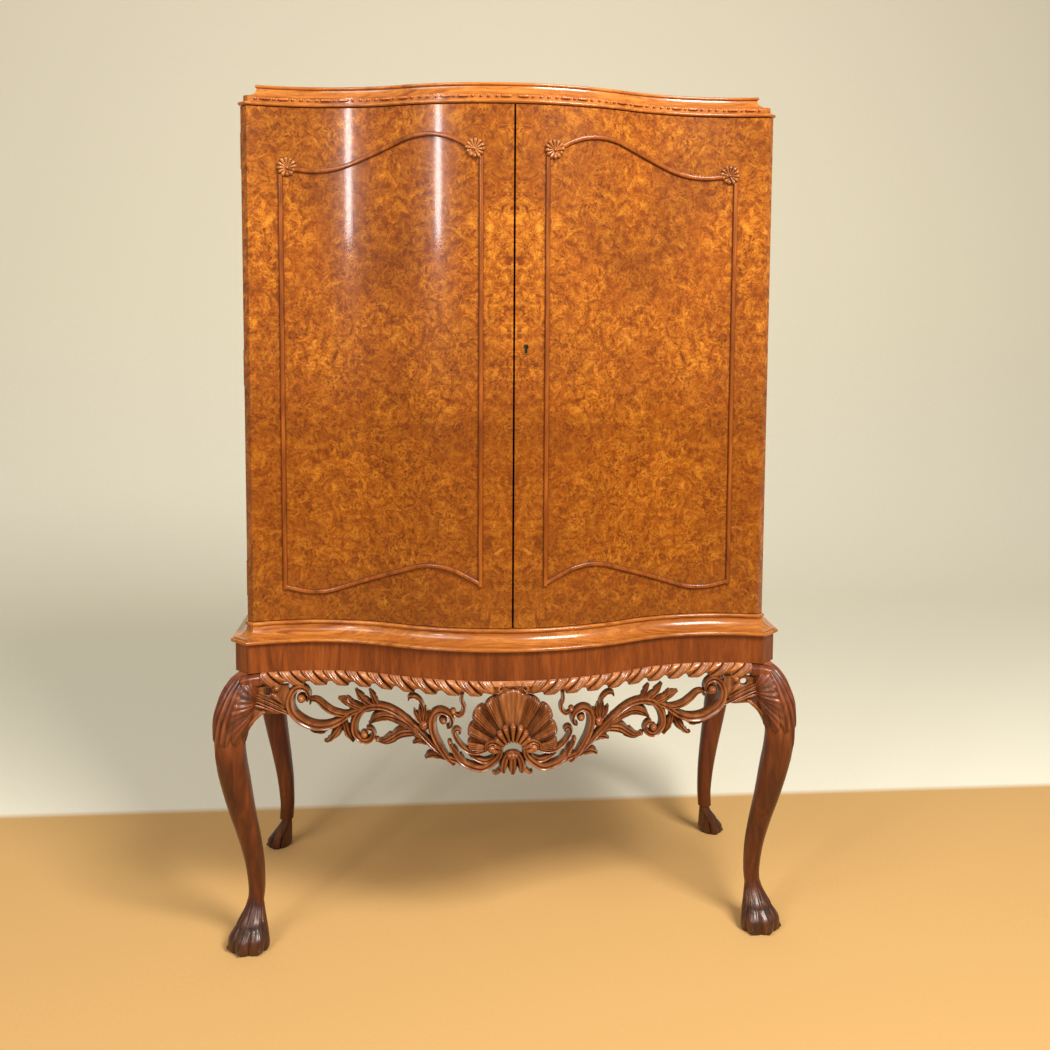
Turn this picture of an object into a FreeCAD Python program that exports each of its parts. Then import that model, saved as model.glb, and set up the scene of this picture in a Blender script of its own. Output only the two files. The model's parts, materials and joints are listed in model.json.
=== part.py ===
import FreeCAD, Part
import math
import os
from types import SimpleNamespace
from FreeCAD import Vector

# Serpentine two-door drinks cabinet on a carved cabriole stand.
# Millimetres, +Z up, front towards -Y, origin on the floor under the middle of the cabinet.

# Driving dimensions: alias, size, meaning.
SIZES = (
    ("half_front", 466.0, "centre line to the canted front corner of the carcase"),
    ("corner_cant", 12.0, "width of the cant on each front corner, along X and along Y"),
    ("centre_bow", 74.0, "how far the middle of the front stands ahead of the corners"),
    ("trough_depth", 14.0, "how far the hollows of the front lie behind the corners"),
    ("trough_inset", 98.0, "front corner to the deepest point of each hollow, along X"),
    ("stand_depth", 425.0, "front corner to the back of the stand"),
    ("carcase_inset", 13.0, "back of the stand to the back of the carcase"),
    ("leg_height", 517.0, "floor to the underside of the frieze rails"),
    ("rail_height", 53.0, "height of the frieze rails"),
    ("rail_thickness", 25.0, "thickness of the frieze rails"),
    ("stand_overhang", 21.0, "how far the frieze stands out past the carcase"),
    ("post_size", 47.0, "width of the square post at the top of each leg"),
    ("tenon_length", 20.0, "length of the rail tenons"),
    ("tenon_thickness", 10.0, "thickness of the rail tenons"),
    ("tenon_shoulder", 8.0, "rail face to tenon, above and below"),
    ("tenon_clearance", 0.2, "room round each tenon in its mortise"),
    ("rear_leg_tuck", 12.0, "how much nearer to the middle the rear ankles stand"),
    ("front_paw_scale", 1.0, "size of the front paws against the paw pattern"),
    ("rear_paw_scale", 0.75, "size of the rear paws against the paw pattern"),
    ("front_paw_heading", 20.0, "degrees that the front paws turn outwards"),
    ("rear_paw_heading", 125.0, "degrees that the rear paws turn outwards from the front"),
    ("stand_top_thickness", 12.0, "thickness of the board on top of the stand"),
    ("stand_top_reach", 2.0, "how far that board stands out past the carcase"),
    ("waist_height", 35.0, "height of the waist moulding"),
    ("waist_reach", 29.0, "how far the waist moulding stands out past the carcase"),
    ("waist_bead_height", 7.0, "height of each bead of the waist moulding"),
    ("waist_bead_reach", 4.0, "how far its upper bead stands out past the carcase"),
    ("waist_quirk_depth", 3.0, "depth of the groove under its upper bead"),
    ("waist_inset", 24.0, "how far the front of the waist reaches in under the doors"),
    ("gadroon_height", 28.0, "height of the gadrooned edge under the front rail"),
    ("apron_drop", 173.0, "underside of the frieze to the foot of the carved apron"),
    ("gadroon_reach", 31.0, "how far the gadroons and shell stand out past the carcase"),
    ("gadroon_back", 2.0, "how far the back of the gadrooned edge is ahead of the carcase"),
    ("apron_inner", 8.0, "how far the back of the pierced apron is ahead of the carcase"),
    ("apron_outer", 26.0, "how far the face of the pierced apron is ahead of the carcase"),
    ("door_height", 918.0, "height of the doors"),
    ("door_thickness", 22.0, "thickness of the doors"),
    ("door_gap", 1.5, "gap above and below the doors"),
    ("meeting_gap", 3.5, "gap between the two doors"),
    ("hinge_edge", 25.0, "front corner to the flat back of each hinge stile"),
    ("hinge_gap", 2.0, "gap between a hinge stile and the carcase side"),
    ("side_thickness", 20.0, "thickness of the carcase sides"),
    ("floor_thickness", 30.0, "thickness of the carcase floor"),
    ("top_thickness", 20.0, "thickness of the carcase top"),
    ("back_thickness", 12.0, "thickness of the back panel"),
    ("mirror_thickness", 4.0, "thickness of the mirror on the back panel"),
    ("closing_gap", 2.2, "gap between the doors' backs and the carcase boards"),
    ("seat_gap", 0.2, "room round boards and glass that drop into place"),
    ("cornice_height", 40.0, "height of the cornice"),
    ("cornice_bead_height", 6.0, "height of each bead of the cornice"),
    ("cornice_bead_reach", 4.0, "how far its lower bead stands out past the carcase"),
    ("cornice_band_height", 11.5, "height of the carved band"),
    ("cornice_band_setback", 5.0, "how far the carved band lies behind the carcase face"),
    ("cornice_neck_setback", 26.0, "how far the neck of its cove lies behind the carcase face"),
    ("cornice_top_setback", 23.0, "how far its top bead lies behind the carcase face"),
    ("cornice_depth", 48.0, "carcase face to the back of the cornice moulding"),
    ("cornice_core_height", 22.0, "thickness of the ground board inside the cornice"),
    ("bead_width", 10.0, "width of the applied beading on the doors"),
    ("bead_height", 5.0, "how far the beading stands off the doors"),
    ("bead_outer_inset", 56.0, "front corner to the outer upright of the beading"),
    ("bead_inner_inset", 58.0, "centre line to the inner upright of the beading"),
    ("rosette_radius", 18.0, "radius of the corner shells on the doors"),
    ("rosette_height", 8.0, "how far the corner shells stand off the doors"),
    ("rosette_shift", 12.0, "upright of the beading to the centre of its shell"),
    ("rosette_outer_drop", 104.5, "door top to the centre of the outer shell"),
    ("rosette_inner_drop", 76.5, "door top to the centre of the inner shell"),
    ("bead_outer_rise", 61.5, "door bottom to the outer foot of the beading"),
    ("bead_inner_rise", 80.0, "door bottom to the inner foot of the beading"),
    ("hinge_inset", 75.0, "door end to the middle of the end hinges"),
    ("hinge_length", 64.0, "length of each hinge"),
    ("leaf_width", 13.0, "width of each hinge leaf"),
    ("leaf_thickness", 1.5, "thickness of each hinge leaf"),
    ("leaf_gap", 0.8, "gap between the closed leaves of a hinge"),
    ("knuckle_radius", 3.2, "radius of the hinge knuckles"),
    ("pin_radius", 1.5, "radius of the hinge pins"),
    ("pin_clearance", 0.04, "running fit round the hinge pins"),
    ("running_gap", 0.3, "room between parts that move past each other"),
    ("screw_radius", 1.5, "shank radius of the hinge screws"),
    ("screw_head_radius", 3.0, "head radius of the hinge screws"),
    ("screw_head_height", 1.4, "head height of the hinge screws"),
    ("screw_length", 13.0, "length of the hinge screws"),
    ("screw_clearance", 0.05, "room round screws and pegs in their holes"),
    ("keyhole_rise", 501.5, "door bottom to the keyhole"),
    ("keyhole_inset", 21.0, "centre line to the keyhole"),
    ("keyhole_radius", 4.0, "radius of the keyhole"),
    ("keyhole_slot", 4.0, "width of the slot of the keyhole"),
    ("keyhole_length", 11.0, "keyhole centre to the end of its slot"),
    ("escutcheon_wall", 1.3, "thickness of the keyhole lining"),
    ("escutcheon_depth", 7.0, "depth of the keyhole lining"),
    ("lock_width", 42.0, "width of the lock case"),
    ("lock_length", 60.0, "height of the lock case"),
    ("lock_depth", 13.0, "depth of the lock case"),
    ("lock_wall", 2.0, "wall of the lock case"),
    ("lock_inset", 2.5, "meeting edge of the door to the lock case"),
    ("lock_bolt_rise", 18.0, "keyhole to the middle of the lock bolt"),
    ("lock_bolt_length", 28.0, "length of the lock bolt"),
    ("lock_bolt_height", 12.0, "height of the lock bolt"),
    ("lock_bolt_thickness", 6.0, "thickness of the lock bolt"),
    ("lock_bolt_travel", 8.0, "travel of the lock bolt"),
    ("strike_thickness", 1.5, "thickness of the strike plate"),
    ("strike_length", 28.0, "height of the strike plate"),
    ("strike_width", 18.0, "width of the strike plate"),
    ("slide_bolt_radius", 4.0, "radius of the slide bolts on the left door"),
    ("slide_bolt_length", 90.0, "length of the slide bolts"),
    ("slide_bolt_travel", 12.0, "travel of the slide bolts"),
    ("slide_bolt_inset", 16.0, "centre line to the slide bolts"),
    ("slide_bolt_standoff", 11.0, "door back to the middle of the slide bolts"),
    ("bolt_guide_height", 12.0, "height of each bolt guide"),
    ("bolt_guide_wall", 2.5, "brass round the bolt in each guide"),
    ("bolt_end_gap", 2.0, "gap from a drawn bolt to its keeper"),
    ("keeper_thickness", 2.0, "thickness of the bolt keepers"),
    ("keeper_size", 15.0, "width of the bolt keepers"),
    ("shelf_rise", 290.0, "carcase floor to the wooden shelf"),
    ("shelf_thickness", 18.0, "thickness of the wooden shelf"),
    ("glass_rise", 600.0, "carcase floor to the glass shelf"),
    ("glass_thickness", 8.0, "thickness of the glass shelf"),
    ("shelf_setback", 72.0, "carcase face to the front edge of the shelves"),
    ("shelf_clearance", 1.0, "room at each end of a shelf"),
    ("peg_radius", 3.5, "radius of the shelf pegs"),
    ("peg_length", 22.0, "length of the shelf pegs"),
    ("peg_hole_depth", 10.0, "depth of the peg holes in the sides"),
    ("peg_inset", 60.0, "shelf peg to the front corner line or to the mirror"),
    ("block_length", 70.0, "length of the glue blocks inside the stand"),
    ("block_size", 22.0, "thickness of the glue blocks"),
    ("block_inset", 90.0, "post to the end of a glue block"),
    ("wood_screw_radius", 2.5, "shank radius of the carcase and block screws"),
    ("wood_screw_head", 4.5, "head radius of the carcase and block screws"),
    ("wood_screw_head_height", 3.0, "head height of the carcase and block screws"),
    ("wood_screw_grip", 18.0, "how far those screws reach into the board above"),
    ("carcase_screw_inset", 150.0, "carcase side and back to the carcase screws"),
)

HINGES_PER_DOOR = 3
SCREWS_PER_LEAF = 3
DIAGONAL = math.sqrt(0.5)
UP = Vector(0, 0, 1)
BACKWARDS = Vector(0, 1, 0)
# Reach of the cutting blocks that are larger than anything they cut.
FAR = 150.0

# Cabriole leg: share of the leg's height, reach outwards along the diagonal, radius.
LEG_SECTIONS = (
    (1.000, -16.0, 23.0),
    (0.950, 0.0, 33.0),
    (0.900, 10.0, 38.0),
    (0.850, 20.0, 37.0),
    (0.780, 28.0, 32.0),
    (0.700, 26.0, 30.0),
    (0.600, 16.0, 28.0),
    (0.500, 4.0, 24.8),
    (0.400, -10.0, 21.5),
    (0.300, -21.0, 18.5),
    (0.205, -25.0, 16.0),
    (0.150, -22.0, 15.5),
)
# Paw foot: height over the floor, reach forwards from the ankle, radius.
PAW_SECTIONS = ((60.0, 6.0, 20.0), (42.0, 16.0, 27.0), (22.0, 28.0, 33.0), (0.0, 32.0, 33.0))
# Toes: reach forwards from the ankle, distance sideways.
TOES = ((60.0, -27.0), (71.0, -9.5), (71.0, 9.5), (60.0, 27.0))
TOE_RADIUS = 13.0
TOE_HEIGHT = 10.5
# How far the paw runs up inside the shaft.
ANKLE_LAP = 8.0
ANKLE_INSET = 2.0
KNUCKLE_BACK = 17.0
KNUCKLE_RISE = 14.0

# The apron pattern is drawn for this distance from the centre line to the post and for this
# drop below the rails, and stretches with both. Points are: out from the centre line, down
# from the rails.
PATTERN_SPAN = 452.0
PATTERN_DROP = 173.0
# Bands of the scrolled foliage: points, radii at the inner points, width.
SCROLL_BANDS = (
    (((72, 161), (120, 151), (196, 55), (262, 61), (300, 113), (270, 143)), (55, 28, 38, 18), 15.0),
    (((122, 145), (142, 107), (147, 66), (124, 62)), (60, 12), 12.0),
    (((163, 78), (180, 47), (186, 27)), (30,), 9.0),
    (((380, 40), (405, 37), (404, 77), (372, 109), (330, 105), (292, 77), (258, 62)),
     (12, 38, 22, 48, 60), 13.0),
    (((300, 82), (330, 77), (354, 57)), (25,), 9.0),
    (((286, 74), (318, 56)), (), 13.0),
    (((266, 64), (270, 40), (283, 27)), (20,), 10.0),
    (((256, 62), (257, 27)), (), 10.0),
    (((300, 86), (292, 122), (284, 139)), (40,), 12.0),
    (((318, 99), (330, 118), (334, 137)), (25,), 10.0),
    (((340, 105), (366, 117)), (), 10.0),
    (((160, 103), (205, 104), (245, 127)), (60,), 16.0),
    (((148, 112), (175, 124)), (), 14.0),
    (((120, 143), (150, 147)), (), 14.0),
    (((108, 27), (96, 52), (110, 62)), (9,), 8.0),
)
# Round bosses of the scrolled foliage: centre, radius.
SCROLL_BOSSES = (
    ((124, 76), 14.0),
    ((381, 54), 12.0),
    ((268, 122), 13.0),
    ((158, 78), 14.0),
    ((110, 61), 7.0),
)
# Shell: hub below the rails, then lobe tips and hollows as angle from upright and radius.
SHELL_HUB_DROP = 132.0
SHELL_MOUTH = 20.0
SHELL_TIPS = ((0.0, 116.0), (21.5, 109.0), (40.0, 107.0), (60.0, 91.0), (79.0, 82.0))
SHELL_HOLLOWS = ((12.7, 107.0), (30.5, 99.0), (50.0, 93.0), (69.0, 83.0), (88.0, 72.0))
SHELL_BANDS = (
    (((38, 127), (50, 158), (24, 166), (8, 164)), (14, 10), 12.0),
    (((18, 166), (54, 166), (84, 156)), (40,), 13.0),
    (((40, 124), (64, 132), (90, 118), (102, 93)), (20, 22), 7.0),
)
SHELL_BOSSES = (((39, 122), 12.0), ((0, 160), 13.0), ((13, 163), 9.0), ((0, 141), 13.0))
# Knee bracket: corners, then its pierced hole. The first corner is on the post.
BRACKET_CORNERS = ((478, 28), (411, 28), (411, 90), (420, 84), (440, 74), (478, 70))
BRACKET_HOLE = (438, 42)
BRACKET_HOLE_RADIUS = 6.0
SIDE_BRACKET_LENGTH = 40.0
SIDE_BRACKET_THICKNESS = 18.0

# Runs of the door beading: corners measured from its shells and feet, and their radii.
TOP_DIP = Vector(-68, 0, -11)
TOP_CREST = Vector(75, 0, 39)
TOP_RADII = (180.0, 120.0)
FOOT_DIP = Vector(-60, 0, -16)
FOOT_CREST = Vector(77, 0, 40)
FOOT_RADII = (120.0, 110.0)

# Small steps of the mouldings and fits of the bolts.
WAIST_FILLET = 2.0
COVE_SHARE = 0.29
GADROON_ROUND = 7.0
BLOCK_SCREW_BITE = 0.7
GUIDE_FIT = 0.1
GUIDE_SHARE = 0.2

doc = FreeCAD.newDocument("drinks_cabinet")
sheet = doc.addObject("Spreadsheet::Sheet", "dims")
for row, (alias, value, meaning) in enumerate(SIZES, start=1):
    sheet.set(f"A{row}", meaning)
    sheet.set(f"B{row}", str(value))
    sheet.setAlias(f"B{row}", alias)
doc.recompute()
s = SimpleNamespace(**{alias: float(sheet.get(alias)) for alias, value, meaning in SIZES})

# Levels and planes that several pieces share, as numbers and as rules for bound sizes.
corner_y = (s.centre_bow + s.gadroon_reach - s.stand_depth) / 2
side_x = s.half_front + s.corner_cant
inner_x = side_x - s.side_thickness
frieze_x = side_x + s.stand_overhang
post_x = frieze_x - s.post_size
rail_top = s.leg_height + s.rail_height
carcase_base = rail_top + s.stand_top_thickness
waist_top = rail_top + s.waist_height
door_bottom = waist_top + s.door_gap
door_top = door_bottom + s.door_height
cornice_base = door_top + s.door_gap
total_height = cornice_base + s.cornice_height
floor_top = carcase_base + s.floor_thickness
top_base = cornice_base - s.top_thickness
stile_back = corner_y + s.hinge_edge
stand_back = corner_y + s.stand_depth
carcase_back = stand_back - s.carcase_inset
panel_front = carcase_back - s.back_thickness
mirror_front = panel_front - s.seat_gap - s.mirror_thickness
board_offset = -(s.door_thickness + s.closing_gap)
keyhole_z = door_bottom + s.keyhole_rise
lock_bolt_z = keyhole_z + s.lock_bolt_rise
axis_y = stile_back + s.hinge_gap / 2
pattern_scale = s.apron_drop / PATTERN_DROP

CORNER_Y = "(dims.centre_bow + dims.gadroon_reach - dims.stand_depth) / 2"
SIDE_X = "(dims.half_front + dims.corner_cant)"
INNER_X = f"({SIDE_X} - dims.side_thickness)"
FRIEZE_X = f"({SIDE_X} + dims.stand_overhang)"
POST_X = f"({FRIEZE_X} - dims.post_size)"
RAIL_TOP = "(dims.leg_height + dims.rail_height)"
CARCASE_BASE = f"({RAIL_TOP} + dims.stand_top_thickness)"
FLOOR_TOP = f"({CARCASE_BASE} + dims.floor_thickness)"
DOOR_BOTTOM = f"({RAIL_TOP} + dims.waist_height + dims.door_gap)"
CORNICE_BASE = f"({DOOR_BOTTOM} + dims.door_height + dims.door_gap)"
TOP_BASE = f"({CORNICE_BASE} - dims.top_thickness)"
SIDE_FRONT = f"({CORNER_Y} + dims.hinge_edge + dims.hinge_gap)"
STAND_BACK = f"({CORNER_Y} + dims.stand_depth)"
PANEL_FRONT = f"({STAND_BACK} - dims.carcase_inset - dims.back_thickness)"
MIRROR_FRONT = f"({PANEL_FRONT} - dims.seat_gap - dims.mirror_thickness)"
AXIS_Y = f"({CORNER_Y} + dims.hinge_edge + dims.hinge_gap / 2)"

# The front is three tangent arcs in plan: a bow in the middle and a hollow on each side.
trough_at = s.half_front - s.trough_inset
trough_radius = (s.trough_inset ** 2 + s.trough_depth ** 2) / (2 * s.trough_depth)
front_rise = s.centre_bow + s.trough_depth
bow_radius = (trough_at ** 2 + front_rise ** 2) / (2 * front_rise) - trough_radius
bow_centre = Vector(0, corner_y - s.centre_bow + bow_radius, 0)
trough_centre = Vector(trough_at, corner_y + s.trough_depth - trough_radius, 0)


def turn_x(offset):
    """Distance from the centre line at which the bow runs into the hollow."""
    return trough_at * (bow_radius + offset) / (bow_radius + trough_radius)


def front_y(x, offset=0.0):
    """Y of the front at x, moved outwards by offset."""
    x = abs(x)
    if x <= turn_x(offset):
        return bow_centre.y - math.sqrt((bow_radius + offset) ** 2 - x * x)
    return trough_centre.y + math.sqrt((trough_radius - offset) ** 2 - (x - trough_at) ** 2)


def front_point(x, offset, z=0.0):
    return Vector(x, front_y(x, offset), z)


def cant_corner(offset):
    """Where the front, moved outwards by offset, meets the canted corner on the right."""
    rule = s.half_front + offset * math.sqrt(2) - corner_y + trough_centre.y
    radius = trough_radius - offset
    spread = math.sqrt(2 * radius ** 2 - (trough_at - rule) ** 2)
    return front_point((trough_at + rule + spread) / 2, offset)


def side_corner(offset):
    """Where the canted corner, moved outwards by offset, meets the side on the right."""
    return Vector(side_x + offset, corner_y + s.corner_cant + offset * (1 - math.sqrt(2)), 0)


def line(start, end):
    return Part.LineSegment(start, end).toShape()


def lines(points):
    return [line(start, end) for start, end in zip(points, points[1:])]


def mirrored(shape):
    """The same shape on the other side of the centre line."""
    return shape.mirror(Vector(0, 0, 0), Vector(1, 0, 0))


def prism(edges, low, high):
    """Solid over a closed plan outline."""
    solid = Part.Face(Part.Wire(edges)).extrude(Vector(0, 0, high - low))
    solid.translate(Vector(0, 0, low))
    return solid


def plan_prism(points, low, high):
    return prism(lines(list(points) + [points[0]]), low, high)


def block(low, high):
    return Part.makeBox(high[0] - low[0], high[1] - low[1], high[2] - low[2], Vector(*low))


def front_edges(start, end, offset):
    """Arcs of the front in plan, moved outwards by offset, from x = start to x = end."""
    low, high = min(start, end), max(start, end)
    turns = [x for x in (-turn_x(offset), turn_x(offset)) if low < x < high]
    stops = [low] + turns + [high]
    if start > end:
        stops.reverse()
    edges = []
    for first, last in zip(stops, stops[1:]):
        middle = front_point((first + last) / 2, offset)
        edges.append(Part.Arc(front_point(first, offset), middle, front_point(last, offset)).toShape())
    return edges


def front_slab(inner, outer, start, end, low, high):
    """Curved slab between two offsets of the front, with square ends."""
    edges = front_edges(start, end, outer)
    edges.append(line(front_point(end, outer), front_point(end, inner)))
    edges.extend(front_edges(end, start, inner))
    edges.append(line(front_point(start, inner), front_point(start, outer)))
    return prism(edges, low, high)


def front_board(offset, half_width, back, low, high):
    """Board with the curved front, straight sides and a straight back."""
    edges = front_edges(-half_width, half_width, offset)
    edges.extend(lines([front_point(half_width, offset), Vector(half_width, back, 0),
                        Vector(-half_width, back, 0), front_point(-half_width, offset)]))
    return prism(edges, low, high)


def canted_board(offset, back, low, high):
    """Board with the curved front, canted corners and a straight back."""
    front, side = cant_corner(offset), side_corner(offset)
    edges = front_edges(-front.x, front.x, offset)
    edges.extend(lines([front, side, Vector(side.x, back, 0), Vector(-side.x, back, 0),
                        Vector(-side.x, side.y, 0), Vector(-front.x, front.y, 0)]))
    return prism(edges, low, high)


def profile_face(start, *steps):
    """Moulding section: a step is a corner, or the middle and the end of an arc.

    Corners are given as reach past the carcase and height, and stand in the plane x = 0.
    Each arc is drawn in two halves, so that no swept face turns through a half circle.
    """
    def place(corner):
        return Vector(0, -corner[0], corner[1])

    edges = []
    here = place(start)
    for step in steps:
        if isinstance(step[0], tuple):
            points = Part.Arc(here, place(step[0]), place(step[1])).toShape().discretize(5)
            edges.append(Part.Arc(*points[:3]).toShape())
            edges.append(Part.Arc(*points[2:]).toShape())
            here = place(step[1])
        else:
            edges.append(line(here, place(step)))
            here = place(step)
    edges.append(line(here, place(start)))
    return Part.Face(Part.Wire(edges))


def turned(face, angle, base):
    """Copy of a section turned about the vertical and moved to base."""
    copy = face.copy()
    copy.rotate(Vector(0, 0, 0), UP, angle)
    copy.translate(base)
    return copy


def front_run(face):
    """Moulding section swept along the bow and both hollows, a little past the corners."""
    bow_angle = math.degrees(math.asin(turn_x(0) / bow_radius))
    overrun = 8.0
    corner_angle = math.degrees(math.asin(s.trough_inset / trough_radius)) + overrun
    bow = turned(face, 0, Vector(0, corner_y - s.centre_bow, 0))
    bow.rotate(bow_centre, UP, -bow_angle)
    bow = bow.revolve(bow_centre, UP, 2 * bow_angle)
    hollow = turned(face, 0, Vector(trough_at, corner_y + s.trough_depth, 0))
    hollow.rotate(trough_centre, UP, -corner_angle)
    hollow = hollow.revolve(trough_centre, UP, corner_angle + bow_angle)
    return bow, hollow, mirrored(hollow)


# Mitre lines of a moulding at the right-hand corner, seen in plan.
front_corner = Vector(s.half_front, corner_y, 0)
flank_corner = Vector(side_x, corner_y + s.corner_cant, 0)
front_normal = (trough_centre - front_corner) * (1 / trough_radius)
cant_normal = Vector(DIAGONAL, -DIAGONAL, 0)
side_normal = Vector(1, 0, 0)
front_mitre = (front_normal + cant_normal).normalize()
flank_mitre = (cant_normal + side_normal).normalize()
inner_mitre = (front_normal + side_normal).normalize()


def mitre_apex():
    """Where the two mitres of a canted corner run together behind the corner."""
    across = flank_corner - front_corner
    cross = front_mitre.x * flank_mitre.y - front_mitre.y * flank_mitre.x
    reach = (across.x * flank_mitre.y - across.y * flank_mitre.x) / cross
    return front_corner + front_mitre * reach


def moulding(front_face, side_face, inner_direction, back, high):
    """Front run with its two canted lengths, and the right-hand side piece, mitred together.

    Behind the point where the mitres meet, the front and side pieces part along inner_direction.
    """
    apex = mitre_apex()
    inside = apex - inner_direction * (FAR / 2)
    front_end = front_corner + front_mitre * FAR
    flank_end = flank_corner + flank_mitre * FAR
    half = [inside, apex, front_end]
    other = [Vector(-point.x, point.y, 0) for point in reversed(half)]
    front_zone = plan_prism(half + other, 0, high)
    cant_zone = plan_prism([apex, front_end, flank_end], 0, high)
    rear_corners = [Vector(flank_end.x, back, 0), Vector(inside.x, back, 0)]
    side_zone = plan_prism([inside, apex, flank_end] + rear_corners, 0, high)
    front = fused(list(front_run(front_face))).common(front_zone)
    along = (flank_corner - front_corner).normalize()
    cant = turned(front_face, 45, front_corner - along * FAR).extrude(along * (3 * FAR)).common(cant_zone)
    start = Vector(side_x, corner_y - FAR, 0)
    side = turned(side_face, 90, start).extrude(BACKWARDS * (back - start.y)).common(side_zone)
    return [front, cant, mirrored(cant)], side


def rounded_edges(points, radii):
    """Run of lines through points, with each inner corner rounded to its radius."""
    edges = []
    here = points[0]
    for before, corner, after, radius in zip(points, points[1:], points[2:], radii):
        into = (corner - before).normalize()
        out = (after - corner).normalize()
        half_turn = into.getAngle(out) / 2
        first = corner - into * (radius * math.tan(half_turn))
        last = corner + out * (radius * math.tan(half_turn))
        middle = corner + (out - into).normalize() * (radius / math.cos(half_turn) - radius)
        edges.append(line(here, first))
        edges.append(Part.Arc(first, middle, last).toShape())
        here = last
    edges.append(line(here, points[-1]))
    return edges


def band_face(points, radii, width):
    """Flat band of one width along a rounded run of points in the XZ plane."""
    half = width / 2
    normals = []
    for start, end in zip(points, points[1:]):
        along = (end - start).normalize()
        normals.append(Vector(-along.z, 0, along.x))
    left, right = [points[0] + normals[0] * half], [points[0] - normals[0] * half]
    left_radii, right_radii = [], []
    for corner, before, after, radius in zip(points[1:], normals, normals[1:], radii):
        shift = (before + after) * (half / (1 + before.dot(after)))
        left.append(corner + shift)
        right.append(corner - shift)
        bend = half if before.x * after.z - before.z * after.x > 0 else -half
        left_radii.append(radius - bend)
        right_radii.append(radius + bend)
    left.append(points[-1] + normals[-1] * half)
    right.append(points[-1] - normals[-1] * half)
    edges = rounded_edges(left, left_radii)
    edges.append(line(left[-1], right[-1]))
    edges.extend(rounded_edges(right[::-1], right_radii[::-1]))
    edges.append(line(right[0], left[0]))
    return Part.Face(Part.Wire(edges))


def disc_face(centre, radius):
    return Part.Face(Part.Wire(Part.makeCircle(radius, centre, BACKWARDS)))


def through_front(face):
    """Flat outline carried right through the front, to be trimmed to a slab."""
    reach = Vector(0, 2 * FAR, 0)
    solid = face.extrude(reach)
    solid.translate(Vector(0, corner_y - FAR, 0))
    return solid


def pattern_point(point):
    """Point of the apron pattern, stretched to the space between the posts."""
    return Vector(point[0] * post_x / PATTERN_SPAN, 0, s.leg_height - point[1] * pattern_scale)


def pattern_solids(bands, bosses):
    solids = []
    for points, radii, width in bands:
        corners = [pattern_point(point) for point in points]
        bends = [radius * pattern_scale for radius in radii]
        solids.append(through_front(band_face(corners, bends, width * pattern_scale)))
    for centre, radius in bosses:
        solids.append(through_front(disc_face(pattern_point(centre), radius * pattern_scale)))
    return solids


def fused(solids):
    return solids[0].multiFuse(solids[1:]).removeSplitter()


def cylinder(radius, start, direction, length):
    return Part.makeCylinder(radius, length, start, direction)


def screw_shape(head, radius, head_radius, head_height, length, direction):
    """Countersunk screw with the flat of its head at head."""
    cone = Part.makeCone(head_radius, radius, head_height, head, direction)
    shank = cylinder(radius, head + direction * head_height, direction, length - head_height)
    return cone.fuse(shank).removeSplitter()


sub_parts = []


def keep(item, label):
    """Take a document object as a finished sub-part of the cabinet."""
    item.Label = label
    sub_parts.append(item)
    return item


def solid_part(label, *shapes):
    """Sub-part whose shape comes from the curves above."""
    feature = doc.addObject("Part::Feature", label)
    feature.Shape = shapes[0] if len(shapes) == 1 else Part.makeCompound(list(shapes))
    return keep(feature, label)


def bind(item, **rules):
    for name, rule in rules.items():
        item.setExpression(name.replace("_", "."), rule)
    return item


def bound_box(name, size, base):
    """Block whose sizes and lowest corner are rules in the sheet's aliases."""
    item = doc.addObject("Part::Box", name)
    bind(item, Length=size[0], Width=size[1], Height=size[2],
         Placement_Base_x=base[0], Placement_Base_y=base[1], Placement_Base_z=base[2])
    return item


def bound_rod(name, radius, length, base, turn=None):
    """Rod along Z, or along turn's axis, whose sizes and base are rules in the sheet's aliases."""
    item = doc.addObject("Part::Cylinder", name)
    if turn:
        item.Placement = FreeCAD.Placement(Vector(0, 0, 0), FreeCAD.Rotation(turn[0], turn[1]))
    bind(item, Radius=radius, Height=length,
         Placement_Base_x=base[0], Placement_Base_y=base[1], Placement_Base_z=base[2])
    return item


def shape_tool(name, shapes):
    """Cutting or joining tool made of several solids."""
    feature = doc.addObject("Part::Feature", name)
    feature.Shape = Part.makeCompound(list(shapes))
    return feature


def cut_part(label, base, tool):
    item = doc.addObject("Part::Cut", label)
    item.Base = base
    item.Tool = tool
    return keep(item, label)


def joined(kind, label, items):
    item = doc.addObject(kind, label)
    if kind == "Part::Compound":
        item.Links = items
    else:
        item.Shapes = items
    return item


def left_and_right(label, shape):
    """A right-hand piece and its mirror image."""
    solid_part(label + "_right", shape)
    solid_part(label + "_left", mirrored(shape))


# Legs

def paw_solids(ankle, ankle_radius, heading, scale):
    """Lion's paw that spreads from the ankle towards heading, in degrees outwards from the front."""
    forward = Vector(math.sin(math.radians(heading)), -math.cos(math.radians(heading)), 0)
    sideways = Vector(forward.y, -forward.x, 0)
    rings = [Part.Wire(Part.makeCircle(ankle_radius, ankle, UP))]
    floor_point = Vector(ankle.x, ankle.y, 0)
    for height, reach, radius in PAW_SECTIONS:
        centre = floor_point + forward * (reach * scale) + UP * (height * scale)
        rings.append(Part.Wire(Part.makeCircle(radius * scale, centre, UP)))
    solids = [Part.makeLoft(rings, True)]
    for reach, side in TOES:
        tip = floor_point + (forward * reach + sideways * side + UP * TOE_HEIGHT) * scale
        knuckle = tip + (forward * -KNUCKLE_BACK + UP * KNUCKLE_RISE) * scale
        radius = TOE_RADIUS * scale
        solids.append(Part.makeSphere(radius, tip))
        solids.append(Part.makeSphere(radius, knuckle))
    return solids


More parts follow.
